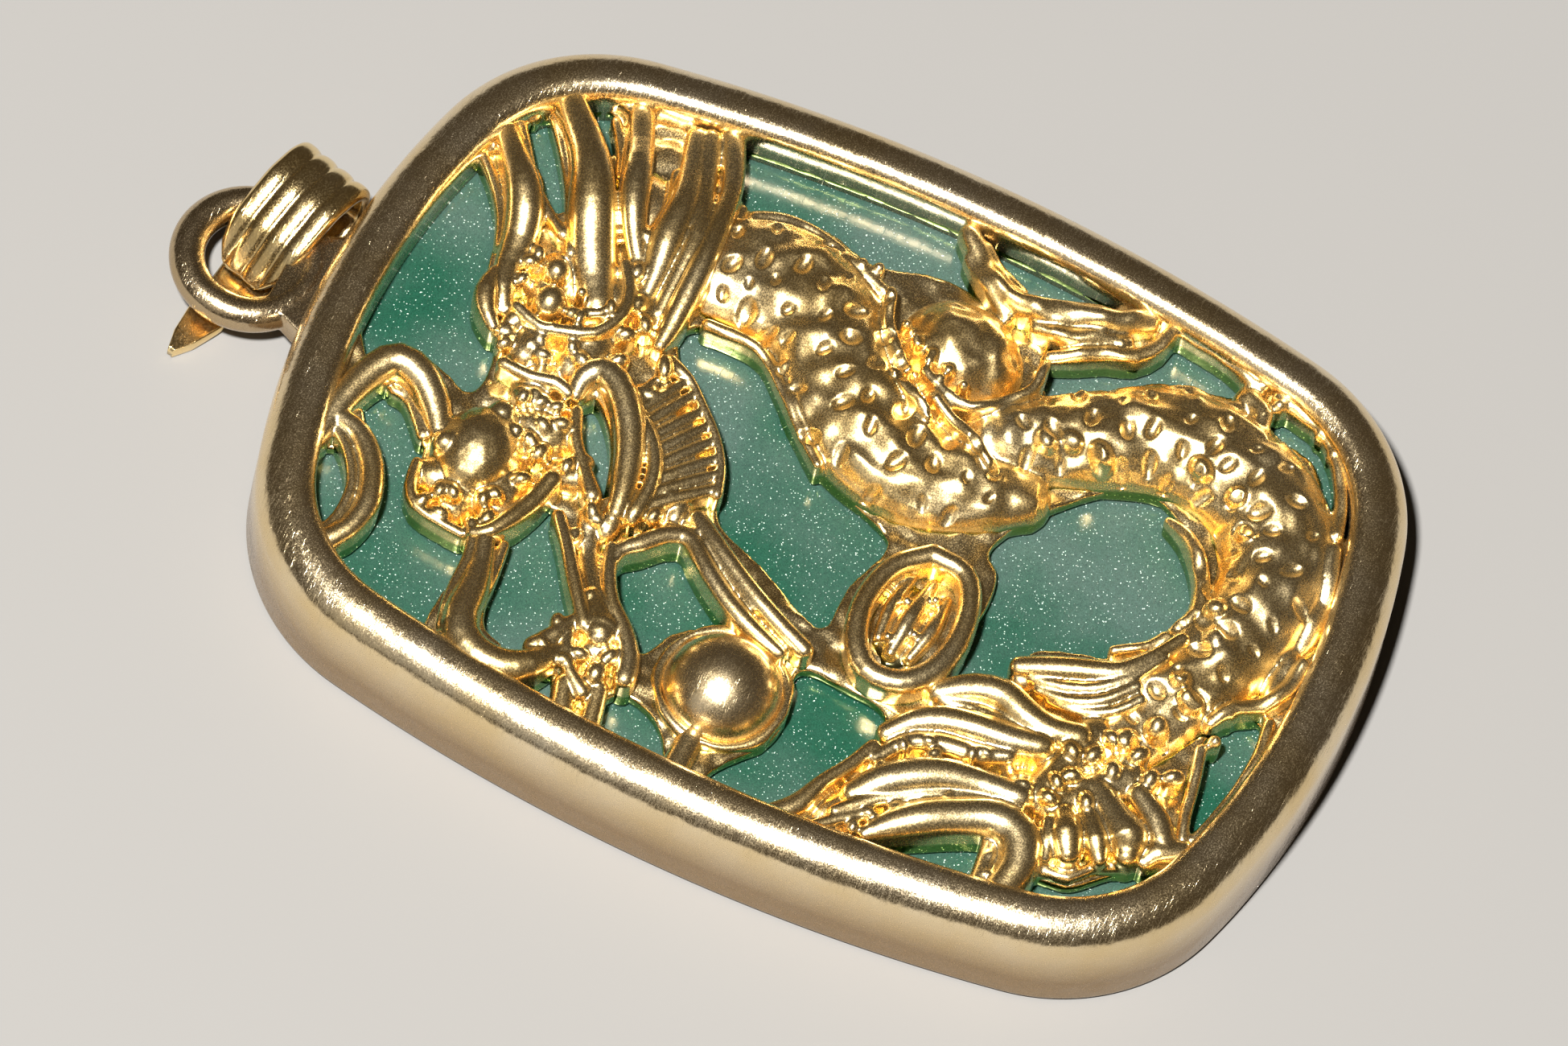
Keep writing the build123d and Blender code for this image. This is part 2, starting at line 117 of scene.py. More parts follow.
# The rim is a cast and gold-plated band round the jade: a straight wall, rolled over at the front.
# Its plan is a barrel of four long arcs, joined by four corner arcs. Sizes are in millimetres.
body_length = 38.0
body_width = 28.0
side_radius = 65.6
end_radius = 28.6
corner_radius = 7.1
rim_height = 4.1
rim_width = 2.0
rim_roll = 1.25
rim_inner_roll = 0.6
back_roll = 0.25
wall_thickness = 1.0
seat_height = 2.16
roll_steps = 10
back_roll_steps = 4
side_steps, corner_steps, end_steps = 40, 24, 28
merge_gap = 0.001
yellow_gold = ((0.92, 0.66, 0.28, 1), (0.96, 0.76, 0.42, 1))
pale_gold = ((0.88, 0.68, 0.38, 1), (0.93, 0.77, 0.52, 1))
# The rim's outer wall has painted shade, darker from its top to its foot, and the walls down to the jade have
# a painted green reflection of the jade.
# Painted shade: a darker colour mixed into the rim's outer wall, strongest at its foot.
painted_wall_shade = (0.36, 0.25, 0.14, 1)
wall_shade_foot, wall_shade_top = 1.2, 3.4
# Painted reflection: a green in the gold's colour that stands in for the jade mirrored in the walls.
painted_jade_reflection = (0.34, 0.42, 0.12, 1)
painted_reflection_fade = 0.15
smooth_wall_fade = 0.1
smooth_wall_share = 0.2
# A finish is made of noises: how many grains go into a millimetre along each axis, and the part of
# the noise that shows.
blush_grains, blush_band = (0.35, 0.35, 0.35), (0.35, 0.65)
plating_grains, plating_band = (20, 20, 20), (0.36, 0.66)
wave_grains = (0.8, 0.8, 0.8)
wall_line_grains = (9, 9, 0.5)
# Hairlines run three ways: how each is turned, in degrees, and its grains.
hairlines = ((20, (1.2, 34, 1.2)), (-35, (1.5, 40, 1.5)), (75, (1.0, 36, 1.0)))
hairline_band = (0.68, 0.72)


def nodes_of(material):
    """The node tree of a new material, its shader, and its object coordinates in millimetres."""
    material.use_nodes = True
    tree = material.node_tree
    place = tree.nodes.new("ShaderNodeTexCoord")
    scale = tree.nodes.new("ShaderNodeMapping")
    scale.inputs["Scale"].default_value = (1 / mm, 1 / mm, 1 / mm)
    tree.links.new(place.outputs["Object"], scale.inputs["Vector"])
    return tree, tree.nodes["Principled BSDF"], scale.outputs["Vector"]


def noise_of(tree, place, grains, detail=3.0, turn=0.0):
    """A noise with so many grains in a millimetre along each axis."""
    mapping = tree.nodes.new("ShaderNodeMapping")
    mapping.inputs["Scale"].default_value = grains
    mapping.inputs["Rotation"].default_value = (0, 0, radians(turn))
    pattern = tree.nodes.new("ShaderNodeTexNoise")
    pattern.inputs["Scale"].default_value = 1.0
    pattern.inputs["Detail"].default_value = detail
    tree.links.new(place, mapping.inputs["Vector"])
    tree.links.new(mapping.outputs["Vector"], pattern.inputs["Vector"])
    return pattern.outputs["Fac"]


def spread(tree, value, low, high, new_low=0, new_high=1):
    """A value mapped from one range to another, kept inside it."""
    change = tree.nodes.new("ShaderNodeMapRange")
    limits = {"From Min": low, "From Max": high, "To Min": new_low, "To Max": new_high}
    for socket, limit in limits.items():
        change.inputs[socket].default_value = limit
    tree.links.new(value, change.inputs["Value"])
    return change.outputs["Result"]


def combined(tree, operation, first, second):
    """One value worked out from two."""
    result = tree.nodes.new("ShaderNodeMath")
    result.operation = operation
    tree.links.new(first, result.inputs[0])
    tree.links.new(second, result.inputs[1])
    return result.outputs["Value"]


def mixed(tree, under, over, share, blend="MIX"):
    """A colour laid over another by a share. Each is a plain value or comes from another node."""
    mix = tree.nodes.new("ShaderNodeMix")
    mix.data_type = "RGBA"
    mix.blend_type = blend
    for socket, value in {"A": under, "B": over, "Factor": share}.items():
        if isinstance(value, bpy.types.NodeSocket):
            tree.links.new(value, mix.inputs[socket])
        else:
            mix.inputs[socket].default_value = value
    return mix.outputs["Result"]


def bumped(tree, shader, layers):
    """Bumps from several heights, each with its depth in millimetres, one after another."""
    normal = None
    for height, depth in layers:
        bump = tree.nodes.new("ShaderNodeBump")
        bump.inputs["Strength"].default_value = 1.0
        bump.inputs["Distance"].default_value = depth * mm
        tree.links.new(height, bump.inputs["Height"])
        if normal:
            tree.links.new(normal, bump.inputs["Normal"])
        normal = bump.outputs["Normal"]
    tree.links.new(normal, shader.inputs["Normal"])


def gold_finish(name, polished, satin, wave_depth=0.03, scratch_depth=0.0, tints=yellow_gold,
                polish_and_painted_reflection_below=0.0, wall_lines_and_shade=0.0):
    """Gold plating over a casting: a fine mix of polished and satin grains, on gentle waves.

    It may have hairlines, fine upright lines with painted shade that darkens a wall towards its
    foot, or smoother walls below a height with a painted green reflection of the jade.
    """
    material = bpy.data.materials.new(name)
    tree, shader, place = nodes_of(material)
    shader.inputs["Metallic"].default_value = 1.0
    parts = tree.nodes.new("ShaderNodeSeparateXYZ")
    tree.links.new(place, parts.inputs["Vector"])
    height = parts.outputs["Z"]
    blush = noise_of(tree, place, blush_grains)
    colour = mixed(tree, *tints, spread(tree, blush, *blush_band))
    plating = noise_of(tree, place, plating_grains, 1.0)
    roughness = spread(tree, plating, *plating_band, polished, satin)
    layers = [(noise_of(tree, place, wave_grains), wave_depth)]
    if polish_and_painted_reflection_below:
        smoother = spread(tree, height, polish_and_painted_reflection_below - smooth_wall_fade, polish_and_painted_reflection_below, smooth_wall_share, 1)
        roughness = combined(tree, "MULTIPLY", roughness, smoother)
        # Painted reflection: below the height the colour turns green, as if the walls mirrored the jade.
        jade_reflection_share = spread(tree, height, polish_and_painted_reflection_below - painted_reflection_fade, polish_and_painted_reflection_below, 1, 0)
        colour = mixed(tree, colour, painted_jade_reflection, jade_reflection_share)
    if scratch_depth:
        for turn, grains in hairlines:
            line = noise_of(tree, place, grains, 1.0, turn)
            layers.append((spread(tree, line, *hairline_band), -scratch_depth))
    if wall_lines_and_shade:
        layers.append((noise_of(tree, place, wall_line_grains, 2.0), wall_lines_and_shade))
        # Painted shade: the wall's colour darkens from its top down to its foot.
        wall_shade_share = spread(tree, height, wall_shade_foot, wall_shade_top, 1, 0)
        colour = mixed(tree, colour, painted_wall_shade, wall_shade_share)
    tree.links.new(colour, shader.inputs["Base Color"])
    tree.links.new(roughness, shader.inputs["Roughness"])
    bumped(tree, shader, layers)
    return material


def finish_piece(name, bm, material, node="setting"):
    """The piece made of a mesh in millimetres, riding on the pendant's one body."""
    bmesh.ops.transform(bm, matrix=Matrix.Scale(mm, 4), verts=bm.verts)
    piece = in_scene(name, mesh_of(name, bm))
    bm.free()
    piece.data.shade_smooth()
    piece.data.materials.append(material)
    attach(piece, "root")
    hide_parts(node)


def all_of(bm):
    """All that a mesh has, for an operator that cuts or mirrors it."""
    return bm.verts[:] + bm.edges[:] + bm.faces[:]


def rim_profile():
    """The rim's section as (inset from the outside, height) points, from the front round to the seat."""
    points = []
    rolls = (
        (rim_width - rim_inner_roll, rim_height - rim_inner_roll, rim_inner_roll, 0, 90),
        (rim_roll, rim_height - rim_roll, rim_roll, 90, 180),
        (back_roll, back_roll, back_roll, 180, 270),
    )
    for inset, height, radius, start, stop in rolls:
        steps = roll_steps if radius > back_roll else back_roll_steps
        for step in range(steps + 1):
            angle = radians(start + (stop - start) * step / steps)
            points.append((inset + radius * cos(angle), height + radius * sin(angle)))
    points += [(wall_thickness, 0), (wall_thickness, seat_height), (rim_width, seat_height)]
    return points


bm = bmesh.new()
corners = [bm.verts.new((body_width / 2 - inset, 0, height)) for inset, height in rim_profile()]
edges = [bm.edges.new((a, b)) for a, b in zip(corners, corners[1:] + corners[:1])]
side_middle = Vector((body_width / 2 - side_radius, 0, 0))
end_middle = Vector((0, body_length / 2 - end_radius, 0))
from_side = side_radius - corner_radius
from_end = end_radius - corner_radius
span = end_middle - side_middle
reach = (from_side**2 - from_end**2 + span.length**2) / (2 * span.length)
step = span.normalized()
corner_middle = side_middle + step * reach + Vector((-step.y, step.x, 0)) * sqrt(from_side**2 - reach**2)
side_angle = atan2(corner_middle.y, corner_middle.x - side_middle.x)
end_angle = atan2(corner_middle.y - end_middle.y, corner_middle.x)
arcs = (
    (side_middle, side_angle, side_steps),
    (corner_middle, end_angle - side_angle, corner_steps),
    (end_middle, pi / 2 - end_angle, end_steps),
)
last = corners + edges
for middle, angle, steps in arcs:
    last = bmesh.ops.spin(bm, geom=last, cent=middle, axis=(0, 0, 1), angle=angle, steps=steps,
                          use_merge=False, use_duplicate=False)["geom_last"]
for axis in "XY":
    bmesh.ops.mirror(bm, geom=all_of(bm), axis=axis, merge_dist=merge_gap)
bmesh.ops.remove_doubles(bm, verts=bm.verts, dist=merge_gap)
bmesh.ops.recalc_face_normals(bm, faces=bm.faces)
# The rim's finish has fine upright lines and painted shade on its outer wall.
rim_gold = gold_finish("rim_gold", polished=0.16, satin=0.28, wave_depth=0.06, scratch_depth=0.0015,
                       tints=pale_gold, wall_lines_and_shade=0.005)
finish_piece("rim", bm, rim_gold)

# The hook ring is a round wire, cast with the rim and plated with it. It stands in the plane of
# the body on a root that widens towards the rim.
ring_bore = 3.1
ring_wire = 1.24
ring_height = 1.7
ring_sink = 0.15
ring_root_width = 4.6
ring_root_thickness = 1.08
root_hold = 0.5
root_lap = 0.35
root_top_share = 0.62
melt_softness = 0.5
wire_sides = 24
ring_steps = 64
ring_radius = (ring_bore + ring_wire) / 2
ring_centre = body_length / 2 + ring_radius + ring_wire / 2 - ring_sink


def trial_object(bm):
    """An object with the mesh as it is now, to put modifiers on."""
    return in_scene("trial", mesh_of("trial", bm))


def taken_back(bm, trial):
    """The mesh as the trial object's modifiers leave it."""
    result = bpy.data.meshes.new_from_object(trial.evaluated_get(bpy.context.evaluated_depsgraph_get()))
    bpy.data.objects.remove(trial)
    bm.clear()
    bm.from_mesh(result)
    return bm


def fused(bm, voxel, rounds):
    """The overlapping closed forms of a mesh melted into one, with soft creases, as cast."""
    bmesh.ops.recalc_face_normals(bm, faces=bm.faces)
    trial = trial_object(bm)
    remesh = trial.modifiers.new("remesh", "REMESH")
    remesh.mode = "VOXEL"
    remesh.voxel_size = voxel
    smooth = trial.modifiers.new("smooth", "SMOOTH")
    smooth.factor = melt_softness
    smooth.iterations = rounds
    return taken_back(bm, trial)


def lightened(bm, most):
    """The same surface with no more than so many triangles, fewer where it is flat."""
    triangles = sum(len(face.verts) - 2 for face in bm.faces)
    if triangles <= most:
        return bm
    trial = trial_object(bm)
    trial.modifiers.new("fewer", "DECIMATE").ratio = most / triangles
    return taken_back(bm, trial)


bm = bmesh.new()
upright = Matrix.Translation((ring_radius, 0, 0)) @ Matrix.Rotation(pi / 2, 4, "X")
bmesh.ops.create_circle(bm, cap_ends=False, radius=ring_wire / 2, segments=wire_sides, matrix=upright)
bmesh.ops.spin(bm, geom=bm.verts[:] + bm.edges[:], cent=(0, 0, 0), axis=(0, 0, 1), angle=2 * pi,
               steps=ring_steps, use_merge=True, use_duplicate=False)
bmesh.ops.translate(bm, verts=bm.verts, vec=(0, ring_centre, ring_height))
root_foot = body_length / 2 - root_hold
root_top = ring_centre - ring_bore / 2 + root_lap
root_middle = (root_top + root_foot) / 2
root = bmesh.ops.create_cube(bm, size=1.0)["verts"]
bmesh.ops.scale(bm, verts=root, vec=(ring_root_width, root_top - root_foot, ring_root_thickness))
bmesh.ops.translate(bm, verts=root, vec=(0, root_middle, ring_height))
for corner in root:
    if corner.co.y > root_middle:
        corner.co.x *= root_top_share
finish_piece("hook_ring", fused(bm, voxel=0.06, rounds=6), rim_gold)

# The bail is a fluted strip of gold-plated sheet, folded round the ring's wire: a rounded tongue
# comes up through the bore and goes over the wire, and the strip folds down beside the rim and
# runs back under the ring to a pointed tail.
bail_width = 2.95
bail_thickness = 0.4
bail_edge_band = 0.1
bail_edge_round = 0.12
bail_flutes = 4
bail_flute_height = 0.1
bail_flute_fullness = 2.5
bail_turn = -16.0
# Its side view, as the reach from the ring's centre and the height, and the radius of each bend.
bail_line = ((-0.35, 0.97), (0.95, 2.3), (2.5, 3.0), (4.4, 2.85), (4.4, 0.32), (-3.95, 0.32))
bail_bends = (1.24, 1.24, 1.2, 1.2)
bend_places = 16
# Half widths of the two leaves, by their reach from the ring's centre.
tongue_widths = ((-0.49, 0.44), (-0.28, 0.885), (0.105, 1.254), (0.63, 1.43), (1.225, 1.475))
tail_widths = ((-4.03, 0.074), (-3.24, 0.44), (-2.21, 0.68), (-0.99, 0.826), (0.395, 1.06), (2.37, 1.475))
bail_steps = 130
bail_sides = 36
first_wins = 0.01


def bent_line(corners, bends, count):
    """So many evenly spaced places along a line with rounded bends, each with the way it heads."""
    corners = [Vector(corner) for corner in corners]
    line = [corners[0]]
    for before, corner, after, radius in zip(corners, corners[1:], corners[2:], bends):
        come, go = (corner - before).normalized(), (after - corner).normalized()
        bend = atan2(come.cross(go), come.dot(go))
        start = corner - come * radius * abs(tan(bend / 2))
        middle = start + Vector((-come.y, come.x)) * radius * (1 if bend > 0 else -1)
        line += [middle + Matrix.Rotation(bend * share, 2) @ (start - middle)
                 for share in np.linspace(0, 1, bend_places)]
    line = np.array([point[:] for point in line + [corners[-1]]])
    run = np.concatenate(([0], np.cumsum(np.hypot(*np.diff(line, axis=0).T))))
    even = np.linspace(0, run[-1], count)
    places = np.column_stack([np.interp(even, run, line[:, axis]) for axis in (0, 1)])
    ways = np.gradient(places, axis=0)
    return places, ways / np.hypot(*ways.T)[:, None]


places, ways = bent_line(bail_line, bail_bends, bail_steps + 1)
# The leaves part at the fold: the place that reaches furthest, and of like ones the first.
fold = int(np.argmax(places[:, 0] - first_wins * np.arange(len(places))))
half_widths = np.concatenate((np.interp(places[:fold, 0], *np.array(tongue_widths).T),
                              np.interp(places[fold:, 0], *np.array(tail_widths).T)))
bm = bmesh.new()
bmesh.ops.create_grid(bm, x_segments=bail_steps, y_segments=bail_sides, size=1.0)
inner = set(bm.verts)
bmesh.ops.extrude_face_region(bm, geom=bm.faces[:])
for vert in bm.verts:
    step = round((vert.co.x + 1) / 2 * bail_steps)
    across = vert.co.y * half_widths[step]
    flute = (across / bail_width + 0.5) * bail_flutes % 1
    edge = max(0, abs(vert.co.y) - (1 - bail_edge_band)) / bail_edge_band
    offset = bail_thickness / 2 - bail_edge_round * edge**2
    if vert in inner:
        offset = -offset
    else:
        offset += bail_flute_height * (1 - abs(2 * flute - 1) ** bail_flute_fullness)
    (reach, height), (way_x, way_z) = places[step], ways[step]
    vert.co = (reach - way_z * offset, across, height + way_x * offset)
lying = Matrix.Translation((0, ring_centre, 0)) @ Matrix.Rotation(radians(bail_turn), 4, "Z")
bmesh.ops.transform(bm, verts=bm.verts, matrix=lying)
bmesh.ops.recalc_face_normals(bm, faces=bm.faces)
bail_gold = gold_finish("bail_gold", polished=0.12, satin=0.26, wave_depth=0.02, scratch_depth=0.001)
finish_piece("bail_strip", bm, bail_gold, "bail")

# The openwork is one casting with the rim: a thin gold web, pierced by windows, that lies on the
# jade. Only its plate is taken from the construction model; the figures on it are modelled below.
web_bottom = 2.21
foot_height = web_bottom + 0.02
web_cut_height = 2.78
web_roughness = 0.12
web_grain = 1.7
web_cuts = 48
inside_rim = 0.6
loose_corner_gap = 0.0005


def cut_off(bm, place, way):
    """The mesh without what lies past a plane, on the side that it faces, and the edges of the cut."""
    cut = bmesh.ops.bisect_plane(bm, geom=all_of(bm), plane_co=place, plane_no=way, clear_outer=True)
    return [item for item in cut["geom_cut"] if isinstance(item, bmesh.types.BMEdge)]


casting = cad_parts["setting"].data
bm = bmesh.new()
bm.from_mesh(casting)
bmesh.ops.transform(bm, matrix=Matrix.Scale(1 / mm, 4), verts=bm.verts)
bmesh.ops.remove_doubles(bm, verts=bm.verts, dist=loose_corner_gap)
for height, way in ((foot_height, -1), (web_cut_height, 1)):
    cut_edges = cut_off(bm, (0, 0, height), (0, 0, way))
    bmesh.ops.triangle_fill(bm, edges=cut_edges, use_beauty=True, use_dissolve=False)
# The rim is cut away in many straight cuts, a little inside its outline. The ring doesn't count.
outline = [vert.co.copy() for vert in casting.vertices if vert.co.y < body_length / 2 * mm]
for step in range(web_cuts):
    angle = 2 * pi * (step + 0.5) / web_cuts
    out = Vector((cos(angle), sin(angle), 0))
    reach = max(place.dot(out) for place in outline) / mm
    cut_edges = cut_off(bm, out * (reach - inside_rim), out)
    bmesh.ops.holes_fill(bm, edges=cut_edges, sides=0)
fused(bm, voxel=0.10, rounds=4)
for vert in bm.verts:
    if vert.co.z > (web_bottom + web_cut_height) / 2:
        vert.co.z += web_roughness * noise.noise(vert.co * web_grain)
# The web's walls are smoother below 2.72 mm and carry a painted green reflection of the jade.
web_gold = gold_finish("web_gold", polished=0.17, satin=0.29, polish_and_painted_reflection_below=2.72)
finish_piece("web", lightened(bm, most=90000), web_gold)

# The head: snout, eyes, horns and mane in gold relief, with the whiskers that run to the rim.
# It is a bundle of round strands, lumps and grains that melt into the web, cast with it.
relief_rise = 1.45
web_top = 2.96
open_half_width = body_width / 2 - rim_width
open_half_length = body_length / 2 - rim_width
# A strand goes through a few stations. A station is a place, in shares of the opening's half width
# and half length, with the strand's half width in millimetres and its crest above the web, as a
# share of the relief's rise. The tables have places in thousandths and the rest in hundredths.
place_parts = 1000
size_parts = 100
# A strand's rounded end, in shares of its half width: how wide it still is, and how far out.
rounded_end = ((0.3, 0.95), (0.6, 0.8), (0.87, 0.5))
strand_sides = 28
lump_fullness = 1.25
grain_shape = (1.45, 1.05)
grain_turn = 50
grain_sink = 0.05
clear_of_jade = 1.05
level_gap = 0.001
up = Vector((0, 0, 1))


def station(across, along, half_width, rise):
    """A station in shares and millimetres, from a table's whole numbers."""
    return across / place_parts, along / place_parts, half_width / size_parts, rise / size_parts


def opening(across, along):
    """A place in the rim's opening, in millimetres, from shares of its half width and half length."""
    return across * open_half_width, along * open_half_length


def crest_of(rise):
    """The height of a crest above the table."""
    return web_top + relief_rise * rise


def back_height(half_width, crest):
    """How high a round back bulges: as much as it is wide, but not down to the jade."""
    return min(half_width, (crest - web_bottom) / clear_of_jade)


def smooth_stations(rows, spacing=0.35):
    """Places on a smooth curve through the rows, close together: x, y, half width and crest."""
    knots = [np.array((*opening(across, along), half_width, crest_of(rise)))
             for across, along, half_width, rise in rows]
    knots = [2 * knots[0] - knots[1], *knots, 2 * knots[-1] - knots[-2]]
    path = []
    for before, start, stop, after in zip(knots, knots[1:], knots[2:], knots[3:]):
        steps = max(2, int(np.hypot(*(stop - start)[:2]) / spacing))
        for share in np.arange(steps) / steps:
            path.append(0.5 * (2 * start + (stop - before) * share
                               + (2 * before - 5 * start + 4 * stop - after) * share**2
                               + (3 * start - before - 3 * stop + after) * share**3))
    return path + [knots[-2]]


def strand(bm, rows, sides=strand_sides):
    """A strand with a round back and rounded ends, whose sides go straight down to the jade."""
    path = smooth_stations(rows)
    rings = []
    for index, (x, y, width, crest) in enumerate(path):
        before, after = path[max(index - 1, 0)], path[min(index + 1, len(path) - 1)]
        ahead = Vector((after[0] - before[0], after[1] - before[1], 0)).normalized()
        height = back_height(width, crest)
        middle = Vector((x, y, crest - height))
        shares = [(1.0, 0.0)]
        if index == 0:
            shares = [(size, -out) for size, out in rounded_end] + shares
        if index == len(path) - 1:
            shares = shares + [(size, out) for size, out in reversed(rounded_end)]
        turn = Matrix((ahead.cross(up), up, ahead)).transposed().to_4x4()
        for size, offset in shares:
            scale = Matrix.Diagonal((width * size, height * size, 1, 1))
            rings.append(Matrix.Translation(middle + ahead * offset * width) @ turn @ scale)
    new = bmesh.ops.create_circle(bm, cap_ends=True, radius=1, segments=sides, matrix=rings[0])["verts"]
    feet = [(vert, rings[0].translation.z) for vert in new]
    cap = new[0].link_faces[0]
    for index, (old, ring) in enumerate(zip(rings, rings[1:])):
        grown = bmesh.ops.extrude_face_region(bm, geom=[cap])["geom"]
        if index:
            bmesh.ops.delete(bm, geom=[cap], context="FACES_ONLY")
        cap = next(item for item in grown if isinstance(item, bmesh.types.BMFace))
        moved = [item for item in grown if isinstance(item, bmesh.types.BMVert)]
        bmesh.ops.transform(bm, matrix=ring @ old.inverted(), verts=moved)
        feet += [(vert, ring.translation.z) for vert in moved]
    for vert, middle_height in feet:
        if vert.co.z < middle_height - level_gap:
            vert.co.z = foot_height


def lump(bm, across, along, half_across, half_along, turn, rise, detail=3):
    """A rounded lump, whose sides go straight down to the jade."""
    crest = crest_of(rise)
    height = back_height(min(half_across, half_along) * lump_fullness, crest)
    place = Matrix.Translation((*opening(across, along), crest - height))
    place = place @ Matrix.Rotation(radians(turn), 4, "Z")
    scale = Matrix.Diagonal((half_across, half_along, height, 1))
    ball = bmesh.ops.create_icosphere(bm, subdivisions=detail, radius=1, matrix=place @ scale)
    for vert in ball["verts"]:
        if vert.co.z < crest - height - level_gap:
            vert.co.z = foot_height


def bead(bm, across, along, radius, rise, longer=1.0, wider=1.0, turn=0):
    """A small lump, round unless it is made longer or wider."""
    lump(bm, across, along, longer * radius, wider * radius, turn, rise, detail=2)


def figure(strands, lumps, grains=()):
    """A new mesh of strands, lumps and small uneven grains, from their tables."""
    bm = bmesh.new()
    for rows in strands:
        strand(bm, [station(*row) for row in rows])
    for across, along, half_across, half_along, turn, rise in lumps:
        lump(bm, across / place_parts, along / place_parts, half_across / size_parts,
             half_along / size_parts, turn, rise / size_parts)
    for index, row in enumerate(grains):
        across, along, radius, rise = station(*row)
        bead(bm, across, along, radius, rise - grain_sink, *grain_shape, grain_turn * index)
    return bm


# A strand is a row of stations. The big strands come first, then the thin ledges along the windows.
head_strands = (
    ((651, 929, 46, 50), (571, 889, 50, 85), (493, 848, 58, 108), (412, 815, 66, 98), (331, 801, 60, 70),
     (249, 798, 48, 60), (174, 786, 42, 60), (119, 764, 32, 45)),
    ((202, 814, 25, 60), (135, 811, 41, 75), (82, 794, 36, 70), (41, 765, 25, 60)),
    ((829, 852, 56, 60), (727, 786, 62, 85), (629, 738, 72, 110), (525, 703, 84, 108), (422, 667, 89, 76),
     (333, 630, 86, 50), (269, 603, 72, 45)),
    ((888, 708, 48, 45), (797, 682, 50, 60), (694, 658, 50, 95), (590, 635, 50, 100), (502, 602, 42, 75),
     (421, 560, 36, 50)),
    ((893, 585, 46, 45), (776, 562, 48, 65), (649, 543, 50, 98), (525, 537, 60, 100), (434, 528, 50, 75),
     (345, 525, 36, 50)),
    ((746, 584, 25, 50), (645, 564, 28, 60), (528, 563, 36, 70)),
    ((909, 561, 36, 45), (771, 530, 36, 60), (642, 502, 42, 85), (530, 485, 46, 90), (425, 483, 42, 70),
     (321, 484, 36, 45)),
    ((955, 528, 46, 40), (881, 502, 41, 50), (771, 473, 38, 65), (649, 461, 40, 90), (507, 452, 42, 102),
     (388, 449, 44, 90), (282, 450, 42, 65), (222, 453, 32, 50)),
    ((563, 954, 20, 20), (491, 904, 20, 20), (401, 860, 20, 25), (308, 834, 20, 30)),
    ((715, 917, 20, 15), (557, 840, 22, 25), (476, 784, 22, 30), (420, 732, 25, 40)),
    ((773, 862, 20, 20), (676, 810, 22, 30), (570, 762, 22, 35), (473, 728, 25, 40), (372, 699, 25, 45)),
    ((743, 438, 20, 30), (641, 436, 20, 35), (522, 430, 20, 40), (391, 427, 20, 45)),
    ((861, 838, 25, 35), (898, 797, 25, 35), (903, 745, 25, 35), (872, 711, 20, 30)),
    ((841, 748, 20, 20), (765, 712, 20, 25), (683, 685, 25, 30)),
    ((122, 739, 22, 70), (92, 682, 22, 75), (111, 630, 24, 78), (145, 576, 24, 80), (233, 546, 24, 80),
     (319, 555, 22, 75), (399, 589, 20, 65)),
    ((239, 572, 22, 85), (204, 584, 20, 85), (169, 637, 25, 80)),
    ((-510, 975, 48, 45), (-366, 960, 54, 60), (-245, 933, 60, 76), (-186, 898, 62, 84),
     (-201, 843, 62, 80), (-261, 794, 58, 65), (-327, 761, 43, 50)),
    ((-422, 959, 36, 50), (-449, 898, 41, 60), (-531, 845, 43, 65), (-647, 816, 43, 65),
     (-747, 828, 41, 55), (-814, 862, 48, 45), (-900, 870, 48, 35)),
    ((-442, 965, 20, 35), (-507, 906, 22, 45), (-607, 863, 22, 45), (-718, 858, 22, 40),
     (-803, 879, 25, 35)),
    ((-257, 882, 20, 20), (-262, 851, 22, 20), (-302, 821, 22, 25), (-357, 786, 25, 30)),
    ((-593, 603, 22, 55), (-572, 573, 28, 70), (-497, 544, 36, 75), (-417, 523, 36, 75),
     (-343, 512, 36, 80)),
    ((-450, 771, 20, 35), (-526, 761, 22, 40), (-581, 731, 22, 40), (-596, 680, 22, 40),
     (-603, 624, 22, 40)),
    ((-93, 537, 25, 50), (-180, 509, 25, 50), (-248, 469, 25, 50), (-319, 429, 36, 55)),
    ((-55, 710, 25, 60), (-62, 649, 25, 65), (-48, 601, 28, 70), (-59, 567, 25, 65)),
)
# A lump has its place, its half sizes across and along, its turn in degrees and its crest.
head_lumps = (
    (178, 685, 66, 60, 0, 100), (279, 703, 52, 50, 0, 90), (234, 636, 20, 20, 0, 95),
    (234, 571, 35, 20, 30, 95), (164, 616, 35, 20, 0, 90), (101, 657, 22, 20, 0, 80),
    (267, 705, 150, 90, 10, 50), (56, 684, 110, 80, 0, 55), (120, 576, 160, 90, -20, 55),
    (311, 536, 90, 150, -20, 50), (648, 599, 130, 220, -30, 12), (730, 521, 80, 180, -30, 15),
    (-335, 672, 200, 165, 0, 108), (-376, 735, 50, 50, 0, 85), (-215, 663, 60, 55, 0, 85),
    (-250, 622, 35, 35, 0, 80), (-134, 642, 35, 30, 0, 75), (-466, 673, 150, 110, 0, 42),
    (-411, 592, 140, 100, 0, 48), (-452, 726, 80, 100, 0, 40), (-181, 583, 90, 140, 0, 55),
    (-69, 632, 120, 80, 0, 55), (-275, 494, 60, 90, 0, 40), (55, 738, 50, 50, 0, 50),
)
